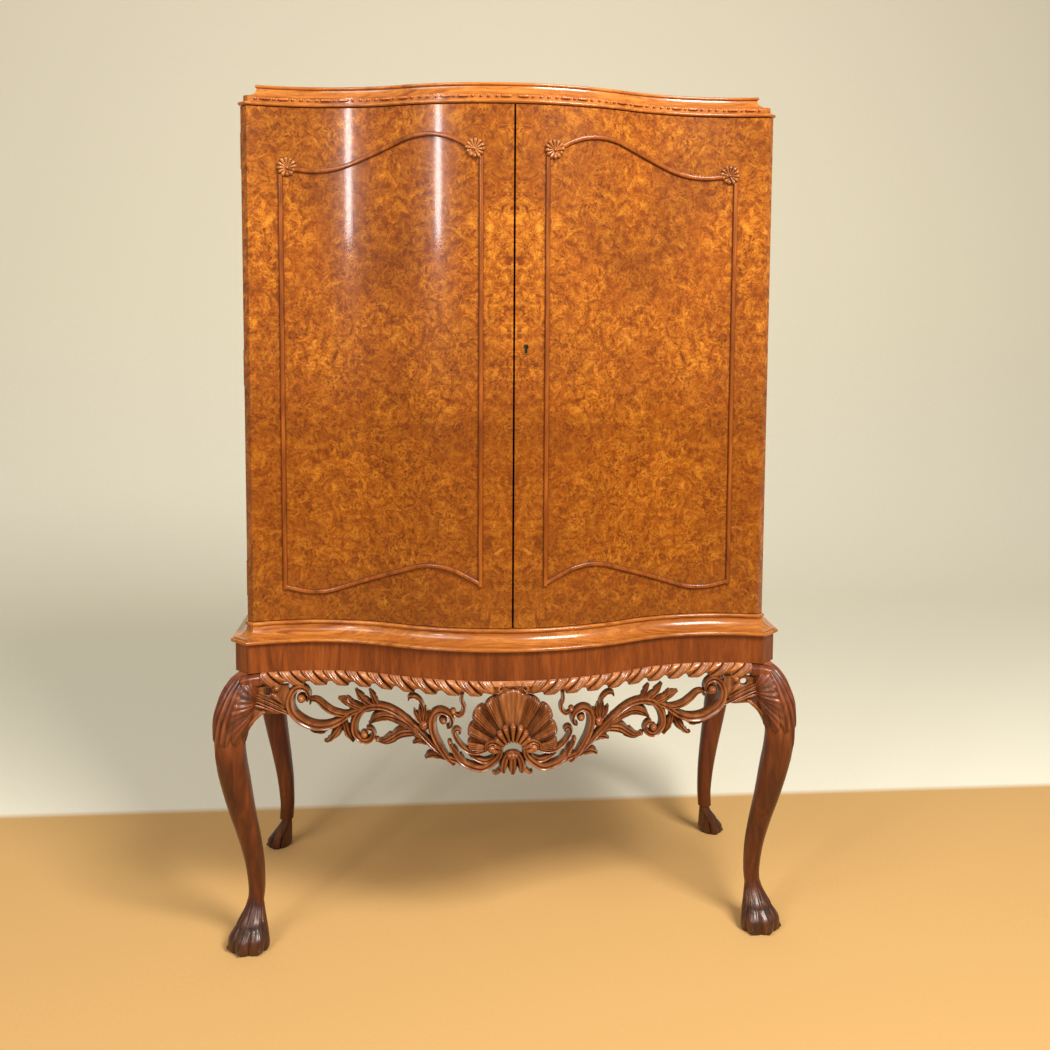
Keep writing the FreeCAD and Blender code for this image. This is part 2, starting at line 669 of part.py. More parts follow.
def leg_shape(post, start, diagonal, tuck, heading, scale):
    """Square post, cabriole shaft and paw foot of one right-hand leg."""
    rings = []
    for share, reach, radius in LEG_SECTIONS:
        centre = start + diagonal * (reach - tuck * (1 - share))
        centre.z = share * s.leg_height
        rings.append(Part.Wire(Part.makeCircle(radius, centre, UP)))
    shaft = Part.makeLoft(rings, True)
    paw = paw_solids(centre + UP * ANKLE_LAP, radius - ANKLE_INSET, heading, scale)
    ground = block((-2 * frieze_x, -2 * s.stand_depth, -FAR), (2 * frieze_x, 2 * s.stand_depth, 0))
    return post.multiFuse([shaft] + paw).cut(ground)


def front_mortise():
    """Room in a front post for the tenon of the front rail."""
    room = s.tenon_clearance
    middle = (front_y(post_x, s.stand_overhang) + front_y(post_x, s.stand_overhang - s.rail_thickness)) / 2
    half = s.tenon_thickness / 2 + room
    low, high = s.leg_height + s.tenon_shoulder - room, rail_top - s.tenon_shoulder + room
    return block((post_x - FAR, middle - half, low), (post_x + s.tenon_length + room, middle + half, high))


def side_mortise(post_face, towards_back):
    """Room in a post for the tenon of a side rail, from the face that the rail meets."""
    room = s.tenon_clearance
    middle = frieze_x - s.rail_thickness / 2
    half = s.tenon_thickness / 2 + room
    reach = s.tenon_length + room
    ends = (post_face, post_face + reach) if towards_back else (post_face - reach, post_face)
    low, high = s.leg_height + s.tenon_shoulder - room, rail_top - s.tenon_shoulder + room
    return block((middle - half, ends[0], low), (middle + half, ends[1], high))


def rear_mortise():
    """Room in a rear post for the tenon of the rear rail."""
    room = s.tenon_clearance
    middle = stand_back - s.rail_thickness / 2
    half = s.tenon_thickness / 2 + room
    low, high = s.leg_height + s.tenon_shoulder - room, rail_top - s.tenon_shoulder + room
    return block((post_x - FAR, middle - half, low), (post_x + s.tenon_length + room, middle + half, high))


front_cant, side_cant = cant_corner(s.stand_overhang), side_corner(s.stand_overhang)
front_post_back = side_cant.y + s.post_size * DIAGONAL
rear_post_front = stand_back - s.post_size


def front_leg():
    edges = front_edges(post_x, front_cant.x, s.stand_overhang)
    edges.extend(lines([front_cant, side_cant, Vector(frieze_x, front_post_back, 0),
                        Vector(post_x, front_post_back, 0), front_point(post_x, s.stand_overhang)]))
    post = prism(edges, s.leg_height, rail_top)
    start = (front_cant + side_cant) * 0.5
    leg = leg_shape(post, start, cant_normal, 0.0, s.front_paw_heading, s.front_paw_scale)
    return leg.cut(front_mortise()).cut(side_mortise(front_post_back, False))


def rear_leg():
    post = block((post_x, rear_post_front, s.leg_height), (frieze_x, stand_back, rail_top))
    diagonal = Vector(DIAGONAL, DIAGONAL, 0)
    centre = Vector((post_x + frieze_x) / 2, (rear_post_front + stand_back) / 2, 0)
    start = centre - diagonal * LEG_SECTIONS[0][1]
    leg = leg_shape(post, start, diagonal, s.rear_leg_tuck, s.rear_paw_heading, s.rear_paw_scale)
    behind = block((-2 * frieze_x, stand_back, -FAR), (2 * frieze_x, stand_back + 2 * FAR, total_height))
    return leg.cut(behind).cut(rear_mortise()).cut(side_mortise(rear_post_front, True))


left_and_right("leg_front", front_leg())
left_and_right("leg_rear", rear_leg())


# Stand rails

def front_rail():
    inner = s.stand_overhang - s.rail_thickness
    rail = front_slab(inner, s.stand_overhang, -post_x, post_x, s.leg_height, rail_top)
    middle = (front_y(post_x, s.stand_overhang) + front_y(post_x, inner)) / 2
    tenon = block((post_x, middle - s.tenon_thickness / 2, s.leg_height + s.tenon_shoulder),
                  (post_x + s.tenon_length, middle + s.tenon_thickness / 2, rail_top - s.tenon_shoulder))
    return fused([rail, tenon, mirrored(tenon)])


solid_part("frieze_rail_front", front_rail())

TENON_HEIGHT = "dims.rail_height - 2 * dims.tenon_shoulder"
TENON_BASE = "dims.leg_height + dims.tenon_shoulder"


def side_rail(label, hand):
    """Rail between a front and a rear post, with a tenon at each end."""
    low = (frieze_x - s.rail_thickness, front_post_back, s.leg_height)
    rail = block(low, (frieze_x, rear_post_front, rail_top))
    tenon = block((frieze_x - (s.rail_thickness + s.tenon_thickness) / 2, front_post_back - s.tenon_length,
                   s.leg_height + s.tenon_shoulder),
                  (frieze_x - (s.rail_thickness - s.tenon_thickness) / 2, rear_post_front + s.tenon_length,
                   rail_top - s.tenon_shoulder))
    shape = fused([rail, tenon])
    solid_part(label, shape if hand > 0 else mirrored(shape))


side_rail("frieze_rail_left", -1)
side_rail("frieze_rail_right", 1)

rear_rail = bound_box("rear_rail_board", (f"2 * {POST_X}", "dims.rail_thickness", "dims.rail_height"),
                      (f"-{POST_X}", f"{STAND_BACK} - dims.rail_thickness", "dims.leg_height"))
rear_tenons = bound_box("rear_rail_tenons",
                        (f"2 * ({POST_X} + dims.tenon_length)", "dims.tenon_thickness", TENON_HEIGHT),
                        (f"-({POST_X} + dims.tenon_length)",
                         f"{STAND_BACK} - (dims.rail_thickness + dims.tenon_thickness) / 2", TENON_BASE))
keep(joined("Part::MultiFuse", "frieze_rail_rear", [rear_rail, rear_tenons]), "frieze_rail_rear")


# Board on top of the stand, with its glue blocks and screws

def wood_screw(head, length, room=0.0):
    """Upright countersunk screw driven from below, or the hole for it."""
    return screw_shape(head, s.wood_screw_radius + room, s.wood_screw_head + room,
                       s.wood_screw_head_height, length + room, UP)


def glue_blocks():
    """Blocks in the angle between the stand's rails and its top board."""
    low, high = rail_top - s.block_size, rail_top
    side = frieze_x - s.rail_thickness
    rear = stand_back - s.rail_thickness
    blocks = []
    for start in (front_post_back + s.block_inset, rear_post_front - s.block_inset - s.block_length):
        blocks.append(block((side - s.block_size, start, low), (side, start + s.block_length, high)))
    start = post_x - s.block_inset - s.block_length
    blocks.append(block((start, rear - s.block_size, low), (start + s.block_length, rear, high)))
    return blocks + [mirrored(item) for item in blocks]


carcase_screw_length = s.stand_top_thickness + s.wood_screw_grip
block_screw_length = s.block_size + BLOCK_SCREW_BITE * s.stand_top_thickness
carcase_screw_heads = [Vector(x, y, rail_top)
                       for x in (s.carcase_screw_inset - side_x, side_x - s.carcase_screw_inset)
                       for y in (corner_y + s.carcase_screw_inset, carcase_back - s.carcase_screw_inset)]
block_screw_heads = []
for item in glue_blocks():
    centre = item.BoundBox.Center
    block_screw_heads.append(Vector(centre.x, centre.y, rail_top - s.block_size))
carcase_screw_holes = [
    wood_screw(head, carcase_screw_length, s.screw_clearance) for head in carcase_screw_heads]
block_screw_holes = [wood_screw(head, block_screw_length, s.screw_clearance) for head in block_screw_heads]

stand_board = canted_board(s.stand_top_reach, stand_back, rail_top, carcase_base)
solid_part("stand_top", stand_board.cut(Part.makeCompound(carcase_screw_holes + block_screw_holes)))
solid_part("glue_blocks", *[item.cut(hole) for item, hole in zip(glue_blocks(), block_screw_holes)])
solid_part("glue_block_screws", *[wood_screw(head, block_screw_length) for head in block_screw_heads])
solid_part("carcase_screws", *[wood_screw(head, carcase_screw_length) for head in carcase_screw_heads])


# Mouldings

def waist_profile(inner):
    """Bead, quirk, wide cove and lower bead, over the edge of the stand's top board."""
    half = s.waist_bead_height / 2
    seat = s.stand_top_reach + s.seat_gap
    neck = s.waist_bead_reach - s.waist_quirk_depth
    cove_top = waist_top - s.waist_bead_height - WAIST_FILLET
    cove_base = rail_top + s.waist_bead_height + WAIST_FILLET
    lip = s.waist_reach - half - WAIST_FILLET
    sag = (neck + COVE_SHARE * (lip - neck), cove_base + COVE_SHARE * (cove_top - cove_base))
    return profile_face(
        (inner, waist_top),
        (neck, waist_top),
        ((s.waist_bead_reach, waist_top - half), (neck, waist_top - s.waist_bead_height)),
        (neck, cove_top),
        (sag, (lip, cove_base)),
        (lip, cove_base - WAIST_FILLET),
        (s.waist_reach - half, cove_base - WAIST_FILLET),
        ((s.waist_reach, rail_top + half), (s.waist_reach - half, rail_top)),
        (seat, rail_top),
        (seat, carcase_base),
        (inner, carcase_base))


def cornice_profile():
    """Lower bead, band for the carving, cove that narrows upwards, and top bead."""
    half = s.cornice_bead_height / 2
    band_base = cornice_base + s.cornice_bead_height
    band_top = band_base + s.cornice_band_height
    bead_base = total_height - s.cornice_bead_height
    neck, band = -s.cornice_neck_setback, -s.cornice_band_setback
    sag = (neck + COVE_SHARE * (band - neck), band_top + COVE_SHARE * (bead_base - band_top))
    return profile_face(
        (-s.cornice_depth, cornice_base),
        (s.cornice_bead_reach - half, cornice_base),
        ((s.cornice_bead_reach, cornice_base + half), (s.cornice_bead_reach - half, band_base)),
        (band, band_base),
        (band, band_top),
        (sag, (neck, bead_base)),
        ((-s.cornice_top_setback, total_height - half), (neck, total_height)),
        (-s.cornice_depth, total_height))


above = total_height + FAR
waist_front, waist_side = moulding(
    waist_profile(-s.waist_inset), waist_profile(0.0), front_mitre, carcase_back, above)
solid_part("waist_moulding_front", *waist_front)
left_and_right("waist_moulding", waist_side)
cornice_front, cornice_side = moulding(
    cornice_profile(), cornice_profile(), inner_mitre, carcase_back, above)
solid_part("cornice_front", *cornice_front)
left_and_right("cornice", cornice_side)


# Carved apron

def apron_slab(outer):
    return front_slab(s.apron_inner, outer, -side_x, side_x, 0, s.leg_height)


def shell_outline():
    """Fan of lobes over a round mouth."""
    hub = pattern_point((0, SHELL_HUB_DROP))

    def polar(angle, radius):
        turn = math.radians(angle)
        return hub + Vector(math.sin(turn), 0, math.cos(turn)) * (radius * pattern_scale)

    hollows = [(-angle, radius) for angle, radius in reversed(SHELL_HOLLOWS)] + list(SHELL_HOLLOWS)
    tips = [(-angle, radius) for angle, radius in reversed(SHELL_TIPS[1:])] + list(SHELL_TIPS)
    edges = []
    for first, tip, last in zip(hollows, tips, hollows[1:]):
        edges.append(Part.Arc(polar(*first), polar(*tip), polar(*last)).toShape())
    end = SHELL_HOLLOWS[-1]
    mouth = end[0]
    edges.append(line(polar(*end), polar(mouth, SHELL_MOUTH)))
    mouth_points = [polar(angle, SHELL_MOUTH) for angle in (mouth, 0, -mouth)]
    edges.append(Part.Arc(*mouth_points).toShape())
    edges.append(line(polar(-mouth, SHELL_MOUTH), polar(-end[0], end[1])))
    return Part.Face(Part.Wire(edges))


def shell_prism():
    halves = pattern_solids(SHELL_BANDS, SHELL_BOSSES)
    return fused([through_front(shell_outline())] + halves + [mirrored(item) for item in halves])


shell = shell_prism()
gadroon_face = profile_face(
    (s.gadroon_back, s.leg_height),
    (s.gadroon_reach - GADROON_ROUND, s.leg_height),
    ((s.gadroon_reach, s.leg_height - s.gadroon_height / 2),
     (s.gadroon_reach - GADROON_ROUND, s.leg_height - s.gadroon_height)),
    (s.gadroon_back, s.leg_height - s.gadroon_height))
between_posts = block((-post_x, -s.stand_depth, 0), (post_x, s.stand_depth, total_height))
knee = front_leg()
gadroon = fused(list(front_run(gadroon_face))).common(between_posts).cut(shell).cut(knee).cut(mirrored(knee))
solid_part("gadroon_edge", gadroon)
solid_part("apron_shell", shell.common(apron_slab(s.gadroon_reach)))

scroll = fused(pattern_solids(SCROLL_BANDS, SCROLL_BOSSES)).common(apron_slab(s.apron_outer))
scroll = max(scroll.cut(shell).cut(gadroon).Solids, key=lambda piece: piece.Volume)
left_and_right("apron_scroll", scroll)


def knee_bracket():
    """Ear between the knee of a front leg and the scrolls, with its pierced hole."""
    corners = [pattern_point(corner) for corner in BRACKET_CORNERS]
    outline = Part.Face(Part.Wire(lines(corners + [corners[0]])))
    hole = disc_face(pattern_point(BRACKET_HOLE), BRACKET_HOLE_RADIUS * pattern_scale)
    ear = through_front(outline).cut(through_front(hole))
    return ear.common(apron_slab(s.apron_outer)).cut(knee).cut(scroll).cut(gadroon)


def side_bracket(post_face, towards_back, leg):
    """Ear under a side rail, beside the knee of a leg."""
    way = 1 if towards_back else -1
    reach = SIDE_BRACKET_LENGTH
    inner, outer = post_face - way * reach, post_face + way * reach
    corners = [
        Vector(0, inner, s.leg_height),
        Vector(0, outer, s.leg_height),
        Vector(0, outer, s.leg_height - reach / 4),
        Vector(0, post_face, s.leg_height - reach),
        Vector(0, inner, s.leg_height - reach),
    ]
    outline = Part.Face(Part.Wire(lines(corners + [corners[0]])))
    ear = outline.extrude(Vector(SIDE_BRACKET_THICKNESS, 0, 0))
    ear.translate(Vector(frieze_x - s.rail_thickness, 0, 0))
    pieces = ear.cut(leg).Solids
    return max(pieces, key=lambda piece: way * piece.CenterOfMass.y)


left_and_right("knee_bracket", knee_bracket())
side_ears = [side_bracket(front_post_back, True, knee), side_bracket(rear_post_front, False, rear_leg())]
solid_part("side_knee_brackets", *side_ears, *[mirrored(ear) for ear in side_ears])


# Hinges

hinge_step = (s.door_height - 2 * s.hinge_inset) / (HINGES_PER_DOOR - 1)
hinge_heights = [door_bottom + s.hinge_inset + hinge_step * number for number in range(HINGES_PER_DOOR)]
leaf_outer = side_x - s.knuckle_radius - s.running_gap
leaf_inner = leaf_outer - s.leaf_width
door_leaf_face = axis_y - s.leaf_gap / 2
side_leaf_face = axis_y + s.leaf_gap / 2
screw_spacing = s.hinge_length / SCREWS_PER_LEAF
bore_radius = s.pin_radius + s.pin_clearance


def leaf_screw(face, way, height, room=0.0):
    """Screw through a hinge leaf, or the hole for it. Way is -1 into the door, 1 into the side."""
    head = Vector((leaf_inner + leaf_outer) / 2, face, height)
    return screw_shape(head, s.screw_radius + room, s.screw_head_radius + room, s.screw_head_height,
                       s.screw_length + room, Vector(0, way, 0))


def leaf_screws(face, way, room=0.0):
    middle = (SCREWS_PER_LEAF - 1) / 2
    return [leaf_screw(face, way, height + (number - middle) * screw_spacing, room)
            for height in hinge_heights for number in range(SCREWS_PER_LEAF)]


def leaf_shape(face, way, height, knuckles):
    """Leaf with its knuckles, bored for the pin and drilled for its screws."""
    ends = sorted((face, face + way * s.leaf_thickness))
    low, high = height - s.hinge_length / 2, height + s.hinge_length / 2
    solids = [block((leaf_inner, ends[0], low), (leaf_outer, ends[1], high))]
    for start, end in knuckles:
        solids.append(block((leaf_outer, ends[0], height + start), (side_x, ends[1], height + end)))
        solids.append(cylinder(s.knuckle_radius, Vector(side_x, axis_y, height + start), UP, end - start))
    bore_length = s.hinge_length + 2 * s.running_gap
    bore = cylinder(bore_radius, Vector(side_x, axis_y, low - s.running_gap), UP, bore_length)
    return fused(solids).cut(bore).cut(Part.makeCompound(leaf_screws(face, way, s.screw_clearance)))


third, half_gap = s.hinge_length / 6, s.running_gap / 2
door_knuckles = [(half_gap - third, third - half_gap)]
side_knuckles = [(-3 * third, -third - half_gap), (third + half_gap, 3 * third)]
door_leaves = [leaf_shape(door_leaf_face, -1, height, door_knuckles) for height in hinge_heights]
side_leaves = [leaf_shape(side_leaf_face, 1, height, side_knuckles) for height in hinge_heights]


def leaf_recesses(face, way):
    """Room for the leaves and knuckles in the door, or in the carcase side."""
    ends = sorted((face + way * s.leaf_thickness, axis_y))
    room = s.seat_gap
    cuts = []
    for height in hinge_heights:
        low, high = height - s.hinge_length / 2 - room, height + s.hinge_length / 2 + room
        cuts.append(block((leaf_inner - room, ends[0], low), (side_x + FAR, ends[1], high)))
        cuts.append(cylinder(s.knuckle_radius + s.running_gap, Vector(side_x, axis_y, low), UP, high - low))
    return cuts + leaf_screws(face, way, s.screw_clearance)


for hand, turn in (("right", lambda shape: shape), ("left", mirrored)):
    solid_part("hinge_leaves_carcase_" + hand, *[turn(leaf) for leaf in side_leaves])
    solid_part("hinge_leaves_door_" + hand, *[turn(leaf) for leaf in door_leaves])
    solid_part("hinge_screws_door_" + hand, *[turn(screw) for screw in leaf_screws(door_leaf_face, -1)])
side_screws = leaf_screws(side_leaf_face, 1)
solid_part("hinge_screws_carcase", *side_screws, *[mirrored(screw) for screw in side_screws])


def hinge_pins(hand, sign):
    pins = []
    for number in range(HINGES_PER_DOOR):
        step = f"(dims.door_height - 2 * dims.hinge_inset) / {HINGES_PER_DOOR - 1} * {number}"
        height = f"{DOOR_BOTTOM} + dims.hinge_inset - dims.hinge_length / 2 + {step}"
        pins.append(bound_rod(f"hinge_pin_{hand}_{number}", "dims.pin_radius", "dims.hinge_length",
                              (f"{sign} * {SIDE_X}", AXIS_Y, height)))
    keep(joined("Part::Compound", "hinge_pins_" + hand, pins), "hinge_pins_" + hand)


hinge_pins("right", 1)
hinge_pins("left", -1)


# Carcase

shelf_levels = (floor_top + s.shelf_rise, floor_top + s.glass_rise)
peg_rows = (corner_y + s.shelf_setback + s.peg_inset, mirror_front - s.peg_inset)
bolt_y = front_y(s.slide_bolt_inset, -s.door_thickness) + s.slide_bolt_standoff
bolt_room = s.slide_bolt_radius + s.running_gap


def peg_holes():
    radius = s.peg_radius + s.screw_clearance
    starts = [Vector(inner_x, y, level - s.peg_radius) for level in shelf_levels for y in peg_rows]
    return [cylinder(radius, start, Vector(1, 0, 0), s.peg_hole_depth) for start in starts]


def carcase_side(label, hand):
    """Side board, cut for the hinges and drilled for the shelf pegs."""
    base_x = INNER_X if hand > 0 else f"-{SIDE_X}"
    depth = "dims.stand_depth - dims.carcase_inset - dims.hinge_edge - dims.hinge_gap"
    size = ("dims.side_thickness", depth, f"{CORNICE_BASE} - {CARCASE_BASE}")
    board = bound_box(label + "_board", size, (base_x, SIDE_FRONT, CARCASE_BASE))
    cuts = leaf_recesses(side_leaf_face, 1) + peg_holes()
    tool = shape_tool(label + "_cuts", cuts if hand > 0 else [mirrored(item) for item in cuts])
    cut_part(label, board, tool)


def keeper_cuts(level, way):
    """Room for a bolt keeper and for the bolt behind it. Way is 1 into the top, -1 into the floor."""
    half = s.keeper_size / 2
    centre = Vector(-s.slide_bolt_inset, bolt_y, level)
    ends = sorted((level, level + way * s.keeper_thickness))
    plate = block((centre.x - half, bolt_y - half, ends[0]), (centre.x + half, bolt_y + half, ends[1]))
    return plate, cylinder(bolt_room, centre, UP * way, s.slide_bolt_travel)


floor_keeper, floor_hole = keeper_cuts(floor_top, -1)
top_keeper, top_hole = keeper_cuts(top_base, 1)
solid_part("bolt_keepers", floor_keeper.cut(floor_hole), top_keeper.cut(top_hole))

floor_board = front_board(board_offset, inner_x, panel_front, carcase_base, floor_top)
floor_cuts = [floor_keeper, floor_hole] + carcase_screw_holes
solid_part("carcase_floor", floor_board.cut(Part.makeCompound(floor_cuts)))
top_panel = front_board(board_offset, inner_x, panel_front, top_base, cornice_base)
solid_part("carcase_top", top_panel.cut(Part.makeCompound([top_keeper, top_hole])))
carcase_side("carcase_side_left", -1)
carcase_side("carcase_side_right", 1)

keep(bound_box("back_panel", (f"2 * {INNER_X}", "dims.back_thickness", f"{CORNICE_BASE} - {CARCASE_BASE}"),
               (f"-{INNER_X}", PANEL_FRONT, CARCASE_BASE)), "back_panel")
MIRROR_X = f"({INNER_X} - dims.seat_gap)"
mirror_size = (f"2 * {MIRROR_X}", "dims.mirror_thickness", f"{TOP_BASE} - {FLOOR_TOP} - 2 * dims.seat_gap")
mirror_base = (f"-{MIRROR_X}", MIRROR_FRONT, f"{FLOOR_TOP} + dims.seat_gap")
keep(bound_box("mirror_back", mirror_size, mirror_base), "mirror_back")

crown_half = side_x - s.cornice_depth
core_top = cornice_base + s.cornice_core_height
solid_part("cornice_core", front_board(-s.cornice_depth, crown_half, carcase_back, cornice_base, core_top))
solid_part("top_board", front_board(-s.cornice_depth, crown_half, carcase_back, core_top, total_height))


# Shelves and their pegs

shelf_half = inner_x - s.shelf_clearance
shelf_back = mirror_front - s.shelf_clearance
for label, level, thickness in (("shelf_wood", shelf_levels[0], s.shelf_thickness),
                                ("shelf_glass", shelf_levels[1], s.glass_thickness)):
    solid_part(label, front_board(-s.shelf_setback, shelf_half, shelf_back, level, level + thickness))

pegs = []
ALONG_X = (Vector(0, 1, 0), 90)
PEG_ROWS = (f"{CORNER_Y} + dims.shelf_setback + dims.peg_inset", f"{MIRROR_FRONT} - dims.peg_inset")
PEG_STARTS = (f"{INNER_X} + dims.peg_hole_depth - dims.peg_length", f"-{INNER_X} - dims.peg_hole_depth")
for level in ("dims.shelf_rise", "dims.glass_rise"):
    for depth in PEG_ROWS:
        for start in PEG_STARTS:
            pegs.append(bound_rod(f"shelf_peg_{len(pegs)}", "dims.peg_radius", "dims.peg_length",
                                  (start, depth, f"{FLOOR_TOP} + {level} - dims.peg_radius"), ALONG_X))
keep(joined("Part::Compound", "shelf_pegs", pegs), "shelf_pegs")


# Doors

meeting_x = s.meeting_gap / 2
stile_y = stile_back - trough_centre.y
stile_x = trough_at + math.sqrt((trough_radius + s.door_thickness) ** 2 - stile_y ** 2)


def door_blank():
    """Right-hand door before it is cut for its fittings."""
    back = -s.door_thickness
    edges = front_edges(meeting_x, s.half_front, 0.0)
    stile = [Vector(side_x, stile_back, 0), Vector(stile_x, stile_back, 0)]
    edges.extend(lines([front_corner, flank_corner] + stile))
    edges.extend(front_edges(stile_x, meeting_x, back))
    edges.append(line(front_point(meeting_x, back), front_point(meeting_x, 0.0)))
    return prism(edges, door_bottom, door_top)


def keyhole_prism(grow, start, end):
    """Round hole over a slot, grown all round and carried from y = start to y = end."""
    half = s.keyhole_slot / 2 + grow
    centre = Vector(s.keyhole_inset, start, keyhole_z)
    hole = cylinder(s.keyhole_radius + grow, centre, BACKWARDS, end - start)
    slot = block((s.keyhole_inset - half, start, keyhole_z - s.keyhole_length - grow),
                 (s.keyhole_inset + half, end, keyhole_z))
    return hole.fuse(slot).removeSplitter()


lock_left = meeting_x + s.lock_inset
lock_back = front_y(0.0, -s.door_thickness)
lock_front = lock_back - s.lock_depth
lock_middle = (lock_front + lock_back) / 2
lock_low = keyhole_z + (s.lock_bolt_rise - s.lock_length) / 2
lock_high = lock_low + s.lock_length
bolt_tip = meeting_x + s.running_gap


def lock_bolt_box(start, end, room):
    """Length of the lock bolt's section, with room all round it."""
    half_depth = s.lock_bolt_thickness / 2 + room
    half_height = s.lock_bolt_height / 2 + room
    return block((start, lock_middle - half_depth, lock_bolt_z - half_height),
                 (end, lock_middle + half_depth, lock_bolt_z + half_height))


def strike_box():
    front = front_y(meeting_x, 0.0) + s.seat_gap
    half = s.strike_length / 2
    return block((-meeting_x - s.strike_thickness, front, lock_bolt_z - half),
                 (-meeting_x, front + s.strike_width, lock_bolt_z + half))


leaf_cuts = leaf_recesses(door_leaf_face, -1)
keyhole_front = front_y(s.keyhole_inset, 0.0)
lock_room = s.seat_gap
lock_pocket = block((lock_left - lock_room, lock_front, lock_low - lock_room),
                    (lock_left + s.lock_width + lock_room, lock_back + FAR, lock_high + lock_room))
bolt_slot = lock_bolt_box(meeting_x - s.meeting_gap, lock_left, s.running_gap)
lining_hole = keyhole_prism(s.escutcheon_wall, keyhole_front - FAR, lock_front)
right_cuts = leaf_cuts + [lock_pocket, bolt_slot, lining_hole]
right_door = door_blank()
for cut in right_cuts:
    right_door = right_door.cut(cut)
solid_part("door_right", right_door)
bolt_mortise = lock_bolt_box(-meeting_x - s.strike_thickness - s.lock_bolt_travel, -meeting_x, s.running_gap)
left_door = mirrored(door_blank().cut(Part.makeCompound(leaf_cuts)))
solid_part("door_left", left_door.cut(strike_box()).cut(bolt_mortise))


# Lock

lining_proud = s.escutcheon_wall / 2
lining = keyhole_prism(s.escutcheon_wall, keyhole_front - lining_proud, keyhole_front + s.escutcheon_depth)
solid_part("escutcheon", lining.cut(keyhole_prism(0.0, keyhole_front - FAR, lock_front)))

wall = s.lock_wall
case = block((lock_left, lock_front, lock_low), (lock_left + s.lock_width, lock_back, lock_high))
case_room = block((lock_left + wall, lock_front + wall, lock_low + wall),
                  (lock_left + s.lock_width - wall, lock_back - wall, lock_high - wall))
case_slot = lock_bolt_box(lock_left - wall, lock_left + 2 * wall, s.running_gap)
case_keyhole = keyhole_prism(0.0, lock_front - wall, lock_front + 2 * wall)
solid_part("lock_case", case.cut(case_room).cut(case_slot).cut(case_keyhole))
solid_part("lock_bolt", lock_bolt_box(bolt_tip, bolt_tip + s.lock_bolt_length, 0.0))
solid_part("strike_plate", strike_box().cut(bolt_mortise))


# Slide bolts on the left door

def slide_bolt(label, base):
    """Round bolt with a finger knob."""
    rod = bound_rod(label + "_rod", "dims.slide_bolt_radius", "dims.slide_bolt_length",
                    ("-dims.slide_bolt_inset", str(bolt_y), base))
    knob = bound_rod(label + "_knob", "dims.slide_bolt_radius", "3 * dims.slide_bolt_radius",
                     ("-dims.slide_bolt_inset", str(bolt_y), f"{base} + dims.slide_bolt_length / 2"),
                     (Vector(1, 0, 0), -90))
    keep(joined("Part::MultiFuse", label, [rod, knob]), label)


slide_bolt("slide_bolt_top", f"{TOP_BASE} - dims.bolt_end_gap - dims.slide_bolt_length")
slide_bolt("slide_bolt_bottom", f"{FLOOR_TOP} + dims.bolt_end_gap")


def bolt_guides():
    """Brass guides that carry the slide bolts on the back of the left door."""
    guides = []
    half = s.slide_bolt_radius + s.bolt_guide_wall
    bore = s.slide_bolt_radius + GUIDE_FIT
    for base in (top_base - s.bolt_end_gap - s.slide_bolt_length, floor_top + s.bolt_end_gap):
        for share in (GUIDE_SHARE, 1 - GUIDE_SHARE):
            middle = base + s.slide_bolt_length * share
            low, high = middle - s.bolt_guide_height / 2, middle + s.bolt_guide_height / 2
            guide = block((-s.slide_bolt_inset - half, bolt_y - s.slide_bolt_standoff - half, low),
                          (-s.slide_bolt_inset + half, bolt_y + half, high))
            rod = cylinder(bore, Vector(-s.slide_bolt_inset, bolt_y, low), UP, high - low)
            guides.append(guide.cut(mirrored(door_blank())).cut(rod))
    return [max(guide.Solids, key=lambda piece: piece.CenterOfMass.y) for guide in guides]


solid_part("slide_bolt_guides", *bolt_guides())


# Applied beading and corner shells of the doors

outer_upright = s.half_front - s.bead_outer_inset
inner_upright = s.bead_inner_inset
outer_rosette = Vector(outer_upright - s.rosette_shift, 0, door_top - s.rosette_outer_drop)
inner_rosette = Vector(inner_upright + s.rosette_shift, 0, door_top - s.rosette_inner_drop)
outer_foot = Vector(outer_upright, 0, door_bottom + s.bead_outer_rise)
inner_foot = Vector(inner_upright, 0, door_bottom + s.bead_inner_rise)


def beading():
    """Applied bead round the panel of the right-hand door, open at the corner shells."""
    top_run = [outer_rosette, outer_rosette + TOP_DIP, inner_rosette + TOP_CREST, inner_rosette]
    foot_run = [outer_foot, outer_foot + FOOT_DIP, inner_foot + FOOT_CREST, inner_foot]
    end = Vector(0, 0, s.bead_width / 2)
    runs = [band_face(top_run, TOP_RADII, s.bead_width), band_face(foot_run, FOOT_RADII, s.bead_width),
            band_face([outer_foot - end, Vector(outer_upright, 0, outer_rosette.z)], (), s.bead_width),
            band_face([inner_foot - end, Vector(inner_upright, 0, inner_rosette.z)], (), s.bead_width)]
    frame = fused([through_front(face) for face in runs])
    for centre in (outer_rosette, inner_rosette):
        frame = frame.cut(through_front(disc_face(centre, s.rosette_radius)))
    return frame.common(front_slab(0.0, s.bead_height, meeting_x, s.half_front, door_bottom, door_top))


def rosettes():
    slab = front_slab(0.0, s.rosette_height, meeting_x, s.half_front, door_bottom, door_top)
    return [through_front(disc_face(centre, s.rosette_radius)).common(slab)
            for centre in (outer_rosette, inner_rosette)]


left_and_right("door_beading", beading())
corner_shells = rosettes()
solid_part("door_rosettes_right", *corner_shells)
solid_part("door_rosettes_left", *[mirrored(shape) for shape in corner_shells])


# Check and write every sub-part

